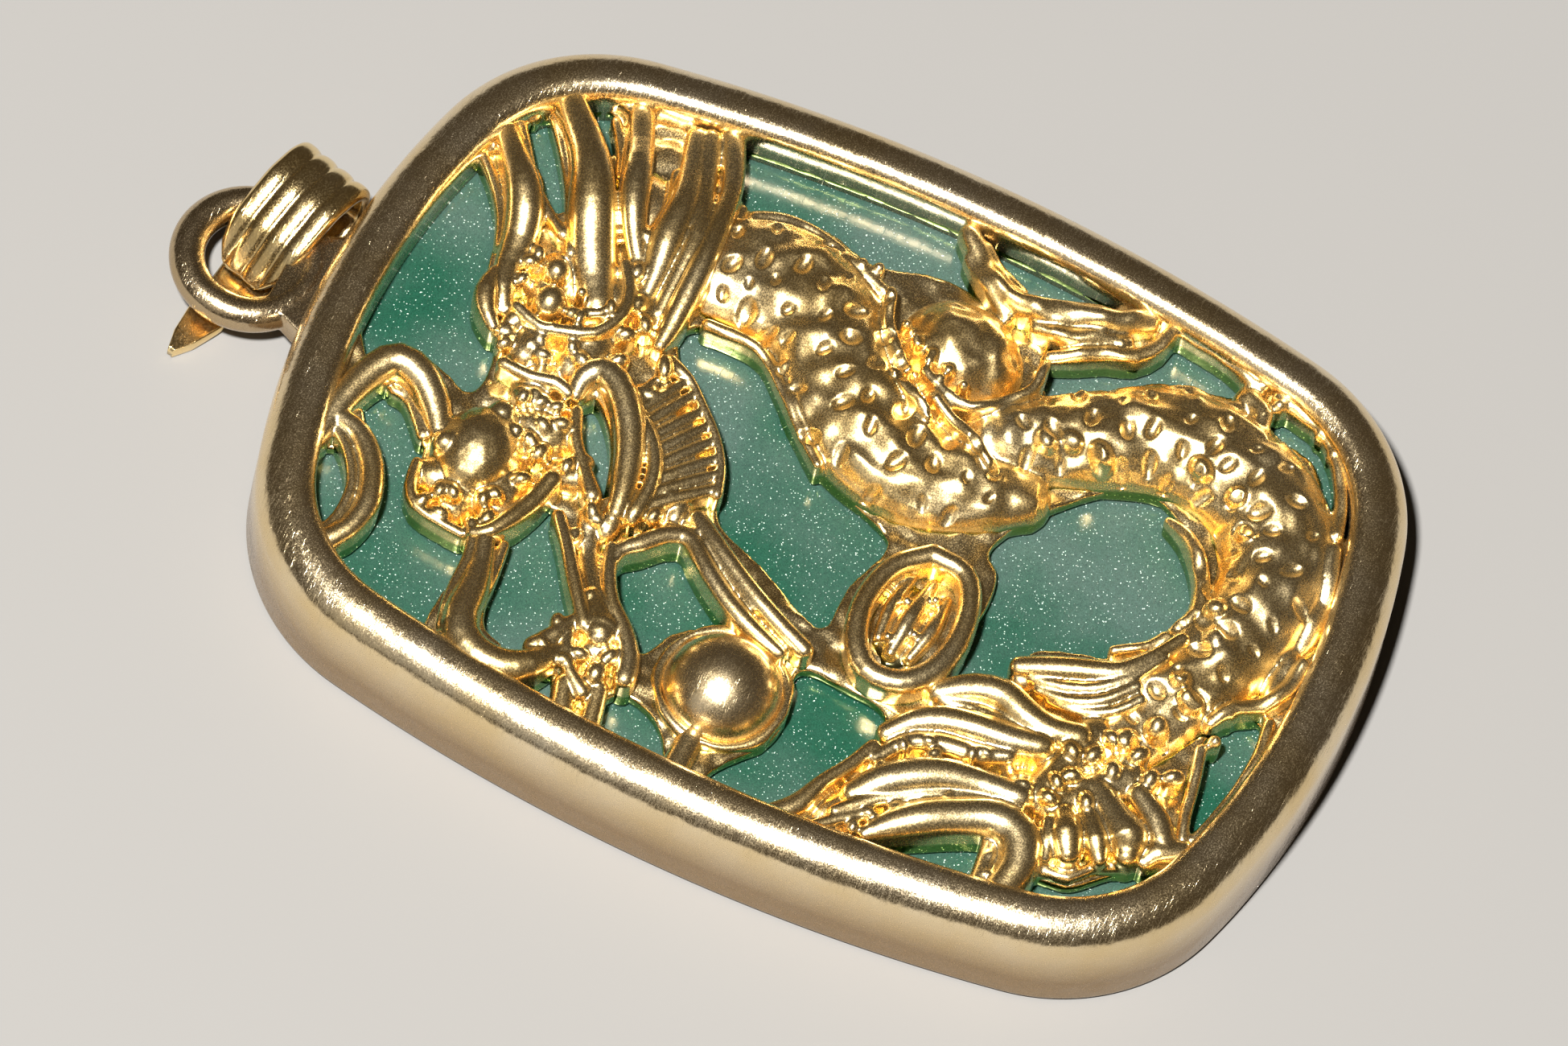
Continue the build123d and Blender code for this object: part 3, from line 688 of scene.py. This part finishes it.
# A small grain has its place, its radius and its crest.
head_beads = (
    (40, 682, 28, 66), (65, 670, 25, 70), (25, 651, 30, 66), (120, 599, 30, 72), (85, 605, 25, 72),
    (62, 577, 30, 68), (194, 522, 33, 72), (297, 529, 30, 76), (251, 499, 30, 70), (90, 734, 30, 60),
    (16, 728, 28, 55), (393, 560, 28, 78), (507, 579, 25, 76), (279, 760, 25, 72), (220, 758, 25, 68),
    (314, 753, 25, 74), (62, 539, 28, 62), (113, 511, 30, 62), (-511, 701, 28, 66), (-502, 678, 28, 68),
    (-574, 681, 28, 56), (-556, 722, 25, 54), (-480, 617, 28, 68), (-454, 600, 25, 70), (-373, 567, 30, 70),
    (-530, 592, 30, 66), (-570, 612, 25, 60), (-122, 644, 30, 74), (-118, 607, 30, 68), (-44, 608, 33, 72),
    (-184, 583, 33, 70), (-158, 550, 33, 70), (-266, 562, 33, 66), (42, 677, 25, 66), (-105, 625, 25, 68),
    (-112, 574, 28, 66), (-264, 501, 30, 60), (-243, 590, 30, 64), (-226, 478, 30, 56), (720, 930, 31, 35),
    (760, 905, 35, 35), (600, 955, 31, 30),
)
# Below the web's top, the cast walls are smoother and carry a painted green reflection of the jade.
cast_gold = gold_finish("cast_gold", polished=0.20, satin=0.30, polish_and_painted_reflection_below=2.92)
bm = fused(figure(head_strands, head_lumps, head_beads), voxel=0.065, rounds=4)
finish_piece("head", lightened(bm, most=195000), cast_gold)

# The claws: the jaw's loop, the two bones of the arm, the paw and the forearm, in the same gold
# relief. They stand before the neck, with a fin of short rays spread from the jaw.
arm_strands = (
    ((-594, 576, 36, 60), (-669, 560, 41, 60), (-752, 551, 54, 70), (-843, 546, 62, 80),
     (-909, 525, 66, 85), (-948, 480, 66, 85), (-944, 422, 62, 80), (-902, 377, 54, 75),
     (-831, 346, 36, 55)),
    ((-602, 599, 22, 45), (-672, 588, 22, 45), (-759, 586, 24, 45), (-842, 579, 24, 45),
     (-897, 570, 22, 35)),
    ((-570, 539, 20, 25), (-675, 529, 20, 30), (-788, 522, 20, 30), (-859, 499, 20, 30),
     (-884, 455, 20, 30)),
    ((-980, 575, 42, 30), (-935, 560, 36, 40)),
    ((-425, 468, 26, 50), (-508, 424, 26, 60), (-596, 382, 28, 65), (-674, 342, 28, 65),
     (-715, 319, 36, 65)),
    ((-447, 343, 26, 50), (-538, 322, 26, 60), (-613, 291, 28, 62), (-677, 246, 36, 62),
     (-746, 210, 38, 62), (-814, 198, 41, 60)),
    ((-370, 416, 42, 35), (-468, 386, 42, 20), (-566, 347, 48, 35), (-652, 309, 60, 60),
     (-718, 283, 60, 70)),
    ((-840, 390, 36, 55), (-783, 362, 36, 60), (-723, 345, 28, 55)),
    ((-734, 344, 25, 50), (-814, 328, 25, 55), (-868, 301, 25, 50), (-902, 263, 36, 45)),
    ((-900, 300, 42, 40), (-1010, 275, 48, 30)), ((-870, 235, 36, 40), (-1010, 215, 42, 25)),
    ((-246, 219, 36, 55), (-304, 164, 36, 70), (-366, 98, 36, 75), (-416, 35, 36, 75), (-455, -25, 36, 70),
     (-490, -90, 36, 60)),
    ((-313, 259, 28, 50), (-322, 210, 36, 60), (-394, 153, 36, 70), (-460, 85, 36, 70), (-499, 24, 36, 65),
     (-530, -50, 25, 50)),
    ((-262, 226, 48, 35), (-330, 152, 54, 40), (-397, 72, 54, 40), (-448, 9, 48, 40)),
    ((-318, 183, 14, 60), (-377, 117, 15, 62), (-444, 37, 15, 62)),
    ((-516, 329, 25, 50), (-449, 328, 28, 55), (-399, 297, 36, 60), (-343, 263, 36, 60),
     (-310, 225, 36, 55)),
    ((-880, 30, 48, 20), (-1010, 30, 54, 20)), ((-500, 10, 36, 30), (-440, -30, 36, 40)),
    ((-43, 554, 36, 60), (6, 554, 44, 75), (44, 532, 50, 90), (29, 492, 52, 98), (-33, 449, 52, 98),
     (-122, 411, 52, 90), (-219, 387, 48, 80), (-292, 375, 40, 70), (-337, 371, 36, 60)),
    ((-57, 547, 18, 30), (-4, 517, 18, 30), (-57, 470, 20, 30), (-145, 430, 20, 30), (-245, 406, 20, 30)),
    ((40, 445, 24, 60), (-16, 427, 25, 62), (-78, 382, 27, 70), (-152, 348, 27, 72), (-238, 333, 28, 70),
     (-315, 337, 36, 65)),
    ((165, 416, 36, 70), (154, 369, 20, 50), (86, 315, 18, 50), (15, 265, 18, 50), (-65, 228, 18, 50),
     (-149, 210, 22, 50)),
)
arm_lumps = (
    (-745, 277, 90, 90, 0, 45), (-838, 253, 50, 40, 0, 62), (-692, 286, 50, 80, 0, 70),
    (138, 421, 50, 30, 25, 85), (51, 424, 50, 70, 0, 60), (-236, 265, 90, 50, 0, 40),
    (-276, 306, 70, 50, 0, 50), (-362, 372, 80, 50, 0, 45), (-20, 325, 150, 110, 35, 28),
    (-130, 275, 120, 90, 20, 28),
)
arm_beads = (
    (-619, 336, 24, 60), (-683, 336, 26, 68), (-808, 301, 29, 66), (-775, 244, 31, 66), (-743, 369, 26, 66),
    (-828, 377, 29, 68), (-846, 324, 29, 64), (-459, 423, 26, 56), (-364, 415, 29, 60), (-383, 400, 29, 56),
    (-290, 205, 22, 62), (-340, 140, 22, 62), (-360, 110, 19, 60), (-220, 290, 26, 62), (-300, 300, 29, 66),
    (-330, 340, 29, 66),
)
# The fin's rays run from the last strand but one to the last. Each has three stations, and this is
# their half width and crest.
fin_rays = 9
fin_span = (0.04, 0.96)
fin_ray_sides = 10
fin_ray = ((0.24, 0.58), (0.27, 0.55), (0.2, 0.46))
fine_spacing = 0.05
bm = figure(arm_strands, arm_lumps, arm_beads)
fin_root, fin_edge = (smooth_stations([station(*row) for row in rows], fine_spacing)
                      for rows in arm_strands[-2:])
for share in np.linspace(*fin_span, fin_rays):
    root_x, root_y = fin_root[int(share * (len(fin_root) - 1))][:2]
    edge_x, edge_y = fin_edge[int(share * (len(fin_edge) - 1))][:2]
    ray = ((root_x, root_y), ((root_x + edge_x) / 2, (root_y + edge_y) / 2), (edge_x, edge_y))
    strand(bm, [(x / open_half_width, y / open_half_length, *size) for (x, y), size in zip(ray, fin_ray)],
           fin_ray_sides)
finish_piece("claws", lightened(fused(bm, voxel=0.06, rounds=3), most=130000), cast_gold)

# The body: neck, thigh and loin in one S, down to the tail, with a hind leg that grips the rim.
# It is the fullest part of the gold relief, hammered all over with scales.
body_lines = (
    ((575, 450, 235, 50), (590, 300, 260, 84), (500, 170, 240, 97), (310, 40, 250, 102),
     (220, -100, 230, 98), (240, -240, 175, 75), (280, -320, 120, 50)),
    ((420, -240, 150, 75), (520, -370, 185, 93), (640, -520, 220, 100), (650, -660, 225, 100),
     (550, -790, 220, 97), (340, -855, 200, 95), (100, -830, 195, 85), (-120, -770, 190, 65),
     (-340, -710, 160, 40), (-500, -660, 110, 30)),
)
body_strands = (
    ((647, 431, 30, 35), (710, 428, 30, 35), (741, 397, 28, 40), (761, 356, 28, 40), (774, 307, 25, 35),
     (763, 250, 25, 35), (740, 202, 25, 35), (718, 153, 25, 35), (696, 110, 25, 35)),
    ((350, 389, 25, 35), (353, 308, 22, 40), (333, 254, 20, 35), (258, 195, 20, 38), (168, 130, 20, 38),
     (83, 62, 20, 38)),
    ((663, 90, 22, 80), (576, 69, 22, 85), (495, 28, 25, 92), (453, -9, 22, 95)),
    ((466, -46, 20, 90), (428, -100, 22, 90), (425, -160, 22, 88), (499, -213, 20, 84), (582, -252, 20, 78),
     (672, -248, 20, 70)),
    ((426, 7, 20, 103), (374, -45, 22, 108), (335, -93, 20, 103)),
    ((400, -84, 22, 98), (356, -145, 22, 100), (324, -203, 22, 95), (284, -252, 25, 90)),
    ((976, 12, 40, 45), (917, -31, 40, 55), (857, -81, 40, 60), (825, -143, 42, 70), (839, -212, 45, 80),
     (876, -272, 45, 80), (906, -334, 42, 70), (960, -385, 45, 45)),
    ((902, -11, 22, 40), (846, -57, 25, 50), (809, -101, 25, 50), (778, -132, 25, 45)),
    ((959, -32, 20, 40), (899, -83, 20, 45), (866, -139, 20, 50)),
    ((786, -197, 30, 50), (794, -255, 32, 60), (829, -307, 32, 55), (862, -368, 30, 45)),
    ((400, -610, 16, 25), (371, -658, 26, 45), (305, -704, 30, 60), (234, -734, 30, 55),
     (149, -745, 28, 50), (86, -730, 25, 45), (-4, -694, 22, 40), (-62, -636, 20, 35)),
    ((581, -275, 22, 35), (631, -337, 25, 40), (690, -402, 25, 42), (755, -466, 25, 42),
     (804, -529, 25, 42), (801, -581, 25, 42), (824, -626, 25, 42)),
    ((787, -664, 30, 45), (758, -725, 30, 45), (710, -792, 28, 45), (651, -843, 28, 45),
     (567, -889, 28, 45)),
    ((722, -249, 25, 40), (760, -295, 30, 45), (805, -345, 30, 50), (836, -400, 28, 50),
     (903, -432, 28, 45), (971, -443, 28, 45), (970, -495, 28, 42), (953, -572, 28, 42),
     (918, -635, 30, 45)),
    ((908, -691, 25, 40), (892, -754, 28, 40), (868, -807, 28, 40), (789, -859, 22, 35),
     (671, -904, 22, 35), (574, -923, 25, 40)),
    ((521, -932, 30, 50), (437, -950, 32, 50), (377, -962, 28, 40)),
    ((868, -644, 35, 50), (828, -682, 35, 55), (774, -680, 30, 50)),
    ((-149, -876, 22, 40), (-75, -905, 28, 50), (-28, -952, 28, 50), (41, -979, 28, 50),
     (136, -986, 28, 50)),
    ((-66, -978, 24, 35), (-154, -989, 24, 35), (-278, -985, 20, 30), (-397, -974, 22, 30),
     (-509, -958, 22, 35)),
    ((-236, -883, 22, 35), (-346, -902, 22, 35), (-458, -917, 22, 35), (-526, -934, 22, 35)),
)
body_lumps = (
    (610, -85, 215, 240, -20, 109), (860, -640, 90, 60, 0, 40), (459, -436, 55, 40, 60, 102),
    (464, -370, 50, 40, 60, 100), (559, -625, 50, 35, 60, 108), (430, -323, 50, 40, 60, 98),
    (697, -532, 25, 25, 0, 90), (637, -461, 25, 25, 0, 85), (521, -715, 35, 35, 0, 106),
    (428, -764, 35, 35, 0, 103), (166, -783, 40, 40, 0, 98), (520, -920, 140, 60, 10, 30),
    (300, -960, 160, 60, 0, 35), (100, -955, 140, 50, 0, 30), (460, -240, 80, 90, 0, 80),
    (-331, -746, 50, 40, 0, 85), (-257, -788, 45, 40, 0, 85), (-132, -823, 40, 50, 0, 88),
    (-92, -786, 40, 40, 0, 88), (76, -807, 60, 50, 0, 98),
)
# A row of beads has its start, its end, how many they are, their radius and their crest.
body_beads = (
    ((700, 420), (745, 140), 9, 26, 45), ((640, -340), (800, -560), 8, 26, 45),
    ((780, -700), (580, -880), 7, 26, 48), ((320, 210), (140, 50), 6, 24, 50),
    ((580, 30), (460, -80), 4, 22, 98), ((550, 0), (470, -130), 4, 20, 102),
    ((830, -240), (850, -360), 4, 24, 55), ((960, -600), (880, -700), 3, 28, 50),
    ((900, -760), (820, -840), 3, 28, 42), ((-200, -900), (-100, -900), 2, 26, 45),
)
# The scales are shallow pits in staggered rows across the body, no two alike.
pit_pitch = 1.16
pit_half_length = 0.40
pit_half_width = 0.27
pit_depth = 0.19
pit_roundness = 0.8
pit_reach = 1.2
lowest_pit = 3.0
first_row = 0.6
row_share = 0.95
width_share = 0.9
row_shifts = (0.15, 0.5)
pit_shift = 0.2
pit_twist = 0.7
pit_sizes = (0.6, 1.2)
pit_seed = 7
scale_softness = 0.4
body_waves = 0.26
body_wave_grain = 1.05


def pits_along(rows, chance):
    """Pits in staggered rows across a strand: place, heading and size share."""
    pits = []
    path = smooth_stations(rows, fine_spacing)
    travelled = 0.0
    wanted = first_row
    count = 0
    for before, here in zip(path, path[1:]):
        stride = here[:2] - before[:2]
        travelled += np.hypot(*stride)
        if travelled < wanted:
            continue
        wanted += pit_pitch * row_share
        count += 1
        ahead = stride / np.hypot(*stride)
        aside = np.array((-ahead[1], ahead[0]))
        across = atan2(ahead[1], ahead[0]) + pi / 2
        width = here[2] * width_share
        places = np.arange(-width, width, pit_pitch) + pit_pitch * row_shifts[count % 2]
        for place in places[np.abs(places) < width]:
            shift = chance.uniform(-pit_shift, pit_shift, 2)
            middle = here[:2] + aside * (place + shift[0]) + ahead * shift[1]
            pits.append((*middle, across + chance.uniform(-pit_twist, pit_twist), chance.uniform(*pit_sizes)))
    return pits


def press_pits(bm, pits):
    """Presses the pits into the mesh from above, and gives its upper side slow waves."""
    places = np.array([vert.co[:] for vert in bm.verts])
    drop = np.zeros(len(places))
    for x, y, heading, size in pits:
        near = np.flatnonzero((np.abs(places[:, 0] - x) < pit_reach) & (np.abs(places[:, 1] - y) < pit_reach)
                              & (places[:, 2] > lowest_pit))
        dx, dy = places[near, 0] - x, places[near, 1] - y
        along = (dx * cos(heading) + dy * sin(heading)) / (pit_half_length * size)
        aside = (dy * cos(heading) - dx * sin(heading)) / (pit_half_width * size)
        away = np.hypot(along, aside)
        drop[near] -= pit_depth * size * np.clip(1 - away**2, 0, 1) ** pit_roundness
    for vert, fall in zip(bm.verts, drop):
        rise = max(0, min(1, vert.co.z - lowest_pit))
        vert.co.z += fall + rise * body_waves * noise.noise(vert.co * body_wave_grain)


bm = figure(body_lines + body_strands, body_lumps)
for start, stop, count, radius, rise in body_beads:
    start, stop = (np.array(station(*place, radius, rise)) for place in (start, stop))
    for share in np.linspace(0, 1, count):
        bead(bm, *(start + (stop - start) * share))
chance = np.random.default_rng(pit_seed)
pits = []
for rows in body_lines:
    pits += pits_along([station(*row) for row in rows], chance)
fused(bm, voxel=0.075, rounds=3)
press_pits(bm, pits)
bmesh.ops.smooth_vert(bm, verts=bm.verts, factor=scale_softness,
                      use_axis_x=True, use_axis_y=True, use_axis_z=True)
# Below the web's top, the body's walls are smoother and carry a painted green reflection of the jade.
body_gold = gold_finish("body_gold", polished=0.22, satin=0.33, polish_and_painted_reflection_below=2.92)
finish_piece("body", lightened(bm, most=195000), body_gold)

# The oval medallion in front of the body is gold, cast with it: a plain round wire, bent to a
# tilted oval, round a ribbed leaf with four small beads.
medallion_ring = (
    (-41, -229, 40, 70), (-54, -304, 40, 70), (-143, -343, 40, 70), (-269, -355, 42, 70),
    (-382, -338, 45, 70), (-460, -289, 46, 70), (-466, -221, 46, 70), (-387, -171, 43, 70),
    (-261, -151, 40, 70), (-127, -172, 40, 70), (-41, -229, 40, 70),
)
medallion_leaf = (
    ((-105, -210, 18, 15), (-227, -200, 24, 30), (-333, -207, 20, 20)),
    ((-105, -254, 22, 20), (-245, -247, 32, 48), (-361, -243, 22, 25)),
    ((-130, -294, 18, 15), (-253, -296, 26, 38), (-349, -282, 20, 20)),
)
medallion_floor = (-260, -245, 230, 130, 5, 5)
medallion_beads = ((-200, -225, 20, 40), (-290, -270, 20, 40), (-160, -275, 20, 40), (-330, -225, 20, 40))
bm = figure((medallion_ring, *medallion_leaf), (medallion_floor,))
for row in medallion_beads:
    bead(bm, *station(*row))
finish_piece("medallion", lightened(fused(bm, voxel=0.06, rounds=3), most=50000), cast_gold)

# The plumes of the tail fan out towards the rim at the left, with two scrolls under them. They
# are part of the same gold casting, in thick and thin strands.
plume_strands = (
    ((-243, -488, 41, 55), (-216, -540, 45, 72), (-183, -603, 45, 80), (-142, -672, 41, 85),
     (-54, -719, 29, 85), (30, -751, 29, 85)),
    ((-262, -520, 21, 45), (-255, -578, 23, 60), (-222, -641, 23, 70), (-154, -694, 23, 80),
     (-49, -735, 23, 85)),
    ((-284, -540, 21, 40), (-283, -604, 23, 55), (-247, -666, 23, 70), (-168, -715, 23, 80)),
    ((-299, -570, 18, 35), (-298, -634, 21, 50), (-262, -696, 21, 65), (-198, -734, 23, 75)),
    ((-420, -368, 45, 50), (-376, -426, 56, 75), (-361, -486, 60, 85), (-391, -545, 60, 85),
     (-402, -598, 54, 80), (-381, -658, 51, 75)),
    ((-444, -385, 23, 40), (-432, -446, 25, 50), (-436, -512, 29, 60), (-442, -563, 29, 65)),
    ((-613, -315, 41, 50), (-553, -352, 49, 65), (-513, -404, 56, 75), (-493, -471, 56, 80),
     (-481, -541, 54, 80), (-459, -600, 51, 75)),
    ((-706, -320, 28, 50), (-624, -359, 30, 58), (-583, -419, 41, 62), (-565, -488, 41, 62),
     (-531, -551, 30, 62)),
    ((-833, -312, 49, 50), (-777, -349, 63, 75), (-718, -403, 68, 85), (-673, -462, 63, 85),
     (-649, -530, 56, 75), (-635, -608, 51, 70)),
    ((-915, -297, 25, 45), (-828, -359, 30, 52), (-755, -433, 41, 58), (-712, -502, 41, 58),
     (-692, -578, 41, 58)),
    ((-935, -370, 29, 40), (-882, -408, 56, 65), (-823, -462, 68, 80), (-768, -526, 68, 80),
     (-730, -588, 71, 82), (-746, -642, 75, 85), (-821, -669, 71, 75), (-913, -661, 63, 60),
     (-990, -658, 60, 50)),
    ((-1010, -180, 41, 40), (-940, -223, 41, 45), (-843, -249, 28, 50), (-762, -280, 28, 50),
     (-678, -303, 28, 50)),
    ((-1000, -263, 23, 40), (-931, -311, 23, 42), (-882, -353, 23, 42)),
    ((-796, -599, 30, 35), (-884, -613, 41, 40), (-968, -620, 41, 40)),
    ((-984, -412, 23, 20), (-993, -522, 23, 25), (-975, -597, 25, 30)),
    ((-624, -704, 45, 60), (-680, -726, 56, 80), (-725, -745, 48, 65)),
    ((-664, -684, 28, 55), (-720, -698, 29, 55), (-765, -708, 25, 40)),
    ((-600, -754, 41, 60), (-660, -785, 48, 70), (-700, -806, 30, 50)),
    ((-501, -739, 45, 60), (-563, -794, 60, 75), (-610, -838, 68, 88), (-650, -850, 50, 60)),
    ((-462, -817, 41, 60), (-513, -870, 49, 65), (-567, -901, 49, 60)),
    ((-571, -939, 52, 50), (-605, -902, 48, 55), (-640, -888, 36, 40)),
    ((-805, -690, 20, 10), (-785, -725, 22, 12), (-775, -765, 22, 12), (-715, -800, 20, 12),
     (-675, -845, 22, 15), (-630, -880, 22, 15), (-620, -920, 20, 12)),
    ((-955, -676, 20, 10), (-985, -734, 22, 10), (-950, -804, 22, 10), (-895, -875, 28, 10),
     (-825, -930, 30, 12), (-720, -965, 32, 15), (-635, -965, 32, 25)),
    ((-590, -640, 75, 55), (-460, -660, 75, 60), (-340, -680, 75, 60)),
    ((-620, -680, 60, 50), (-520, -720, 75, 55), (-420, -780, 75, 55)),
)
plume_lumps = (
    (-960, -300, 50, 50, 0, 30), (-580, -600, 90, 90, 0, 40), (-400, -760, 140, 90, 0, 50),
    (-660, -950, 100, 50, -10, 30), (-940, -650, 70, 45, 0, 30), (-860, -300, 140, 60, -35, 20),
    (-270, -500, 40, 50, 0, 35), (-550, -420, 160, 120, 0, 15),
)
plume_beads = (
    (-737, -336, 23, 68), (-643, -355, 23, 72), (-600, -399, 23, 74), (-629, -420, 23, 72),
    (-575, -485, 23, 74), (-558, -509, 23, 74), (-828, -403, 23, 62), (-736, -484, 23, 68),
    (-747, -500, 23, 66), (-880, -358, 23, 56), (-919, -378, 23, 52), (-934, -342, 23, 50),
    (-439, -659, 34, 84), (-511, -682, 32, 80), (-420, -702, 34, 84), (-565, -732, 32, 76),
    (-604, -662, 30, 76), (-374, -861, 32, 72), (-410, -823, 32, 76), (-548, -661, 28, 80),
    (-604, -605, 30, 76), (-359, -782, 32, 82), (-439, -749, 32, 80), (-350, -720, 28, 84),
    (-900, -620, 25, 50), (-840, -610, 25, 48), (-972, -700, 24, 15), (-925, -840, 24, 15),
    (-865, -905, 24, 18), (-780, -952, 24, 20),
)
bm = fused(figure(plume_strands, plume_lumps, plume_beads), voxel=0.065, rounds=4)
finish_piece("plumes", lightened(bm, most=150000), cast_gold)

# The pearl is a plain gold ball, polished brighter than the rest and sunk into the openwork. An
# uneven thin collar of the casting holds it.
pearl_diameter = 4.2
pearl_centre_height = 2.5
pearl_place = (-0.688, 0.02)
pearl_foot = 2.25
bm = bmesh.new()
bmesh.ops.create_uvsphere(bm, u_segments=96, v_segments=64, radius=pearl_diameter / 2,
                          matrix=Matrix.Translation((*opening(*pearl_place), pearl_centre_height)))
bmesh.ops.contextual_create(bm, geom=cut_off(bm, (0, 0, pearl_foot), (0, 0, -1)))
pearl_gold = gold_finish("pearl_gold", polished=0.20, satin=0.28, wave_depth=0.02, scratch_depth=0.001,
                         tints=pale_gold)
finish_piece("pearl", bm, pearl_gold)
collar_gap = 0.12
collar_reach = pearl_diameter / 2 + collar_gap
collar_steps = 36
# The collar's half width swells five times round the pearl, with a ripple of eleven, and its crest
# rises three times.
collar_wire, collar_swell, collar_ripple = 0.2, 0.05, 0.03
collar_rise, collar_wave = 0.1, 0.06
collar = []
for step in range(collar_steps + 1):
    angle = 2 * pi * step / collar_steps
    collar.append((pearl_place[0] + collar_reach * cos(angle) / open_half_width,
                   pearl_place[1] + collar_reach * sin(angle) / open_half_length,
                   collar_wire + collar_swell * sin(5 * angle) + collar_ripple * sin(11 * angle),
                   collar_rise + collar_wave * sin(3 * angle)))
bm = bmesh.new()
strand(bm, collar)
finish_piece("pearl_collar", lightened(fused(bm, voxel=0.05, rounds=2), most=30000), cast_gold)

# The jade plate lies in the setting's pocket and shows through the windows: polished stone,
# blue-green with deeper clouds, fine grit, a few scratches and the dust of wear.
jade_deep = (0.008, 0.045, 0.027, 1)
jade_pale = (0.040, 0.070, 0.058, 1)
jade_clouds, cloud_band = (0.16, 0.13, 0.2), (0.36, 0.62)
jade_grit, grit_band, grit_tones = (24, 24, 24), (0.3, 0.7), (0.2, 0.85)
grit_share = 0.5
jade_unevenness, unevenness_depth = (5, 5, 5), 0.003
# The scratches run two ways: how each is turned, in degrees, its grains and what shows of them.
jade_scratches = ((38, (0.7, 22, 1), (0.70, 0.75)), (-64, (0.6, 20, 1), (0.71, 0.76)))
jade_scratch_depth = 0.004
# Dust lies in specks that are larger in some places. Their sizes are shares of their pitch.
dust_pitch = 0.085
dust_band, largest_speck, speck_edge = (0.42, 0.78), 0.36, 0.06
dust_colour = (0.55, 0.68, 0.60, 1)
dust_strength = 0.8
dust_thickness = 0.01
jade_glow = 0.25
jade_glow_depth = 1.2
jade_glow_colour = (0.3, 1.0, 0.6)
jade_roughness = 0.18
jade_shine = 0.3
jade_paint = bpy.data.materials.new("jade")
tree, shader, place = nodes_of(jade_paint)
clouds = spread(tree, noise_of(tree, place, jade_clouds, 5.0), *cloud_band)
grit = spread(tree, noise_of(tree, place, jade_grit), *grit_band, *grit_tones)
stone = mixed(tree, mixed(tree, jade_deep, jade_pale, clouds), grit, grit_share, "OVERLAY")
specks = tree.nodes.new("ShaderNodeTexVoronoi")
specks.inputs["Scale"].default_value = 1 / dust_pitch
tree.links.new(place, specks.inputs["Vector"])
loose = noise_of(tree, place, (1 / dust_pitch, 1 / dust_pitch, 1 / dust_pitch), 0.0)
size = spread(tree, loose, *dust_band, 0, largest_speck)
inside = combined(tree, "SUBTRACT", size, specks.outputs["Distance"])
dust = spread(tree, inside, 0, speck_edge, 0, dust_strength)
tree.links.new(mixed(tree, stone, dust_colour, dust), shader.inputs["Base Color"])
shader.inputs["Subsurface Weight"].default_value = jade_glow
shader.inputs["Subsurface Radius"].default_value = jade_glow_colour
shader.inputs["Subsurface Scale"].default_value = jade_glow_depth * mm
shader.inputs["Roughness"].default_value = jade_roughness
shader.inputs["Specular IOR Level"].default_value = jade_shine
layers = [(noise_of(tree, place, jade_unevenness, 4.0), unevenness_depth)]
for turn, grains, band in jade_scratches:
    scratch = noise_of(tree, place, grains, 1.0, turn)
    layers.append((spread(tree, scratch, *band), -jade_scratch_depth))
bumped(tree, shader, layers + [(dust, dust_thickness)])
jade_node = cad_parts["jade_plate"]
jade_node.data.materials.clear()
jade_node.data.materials.append(jade_paint)
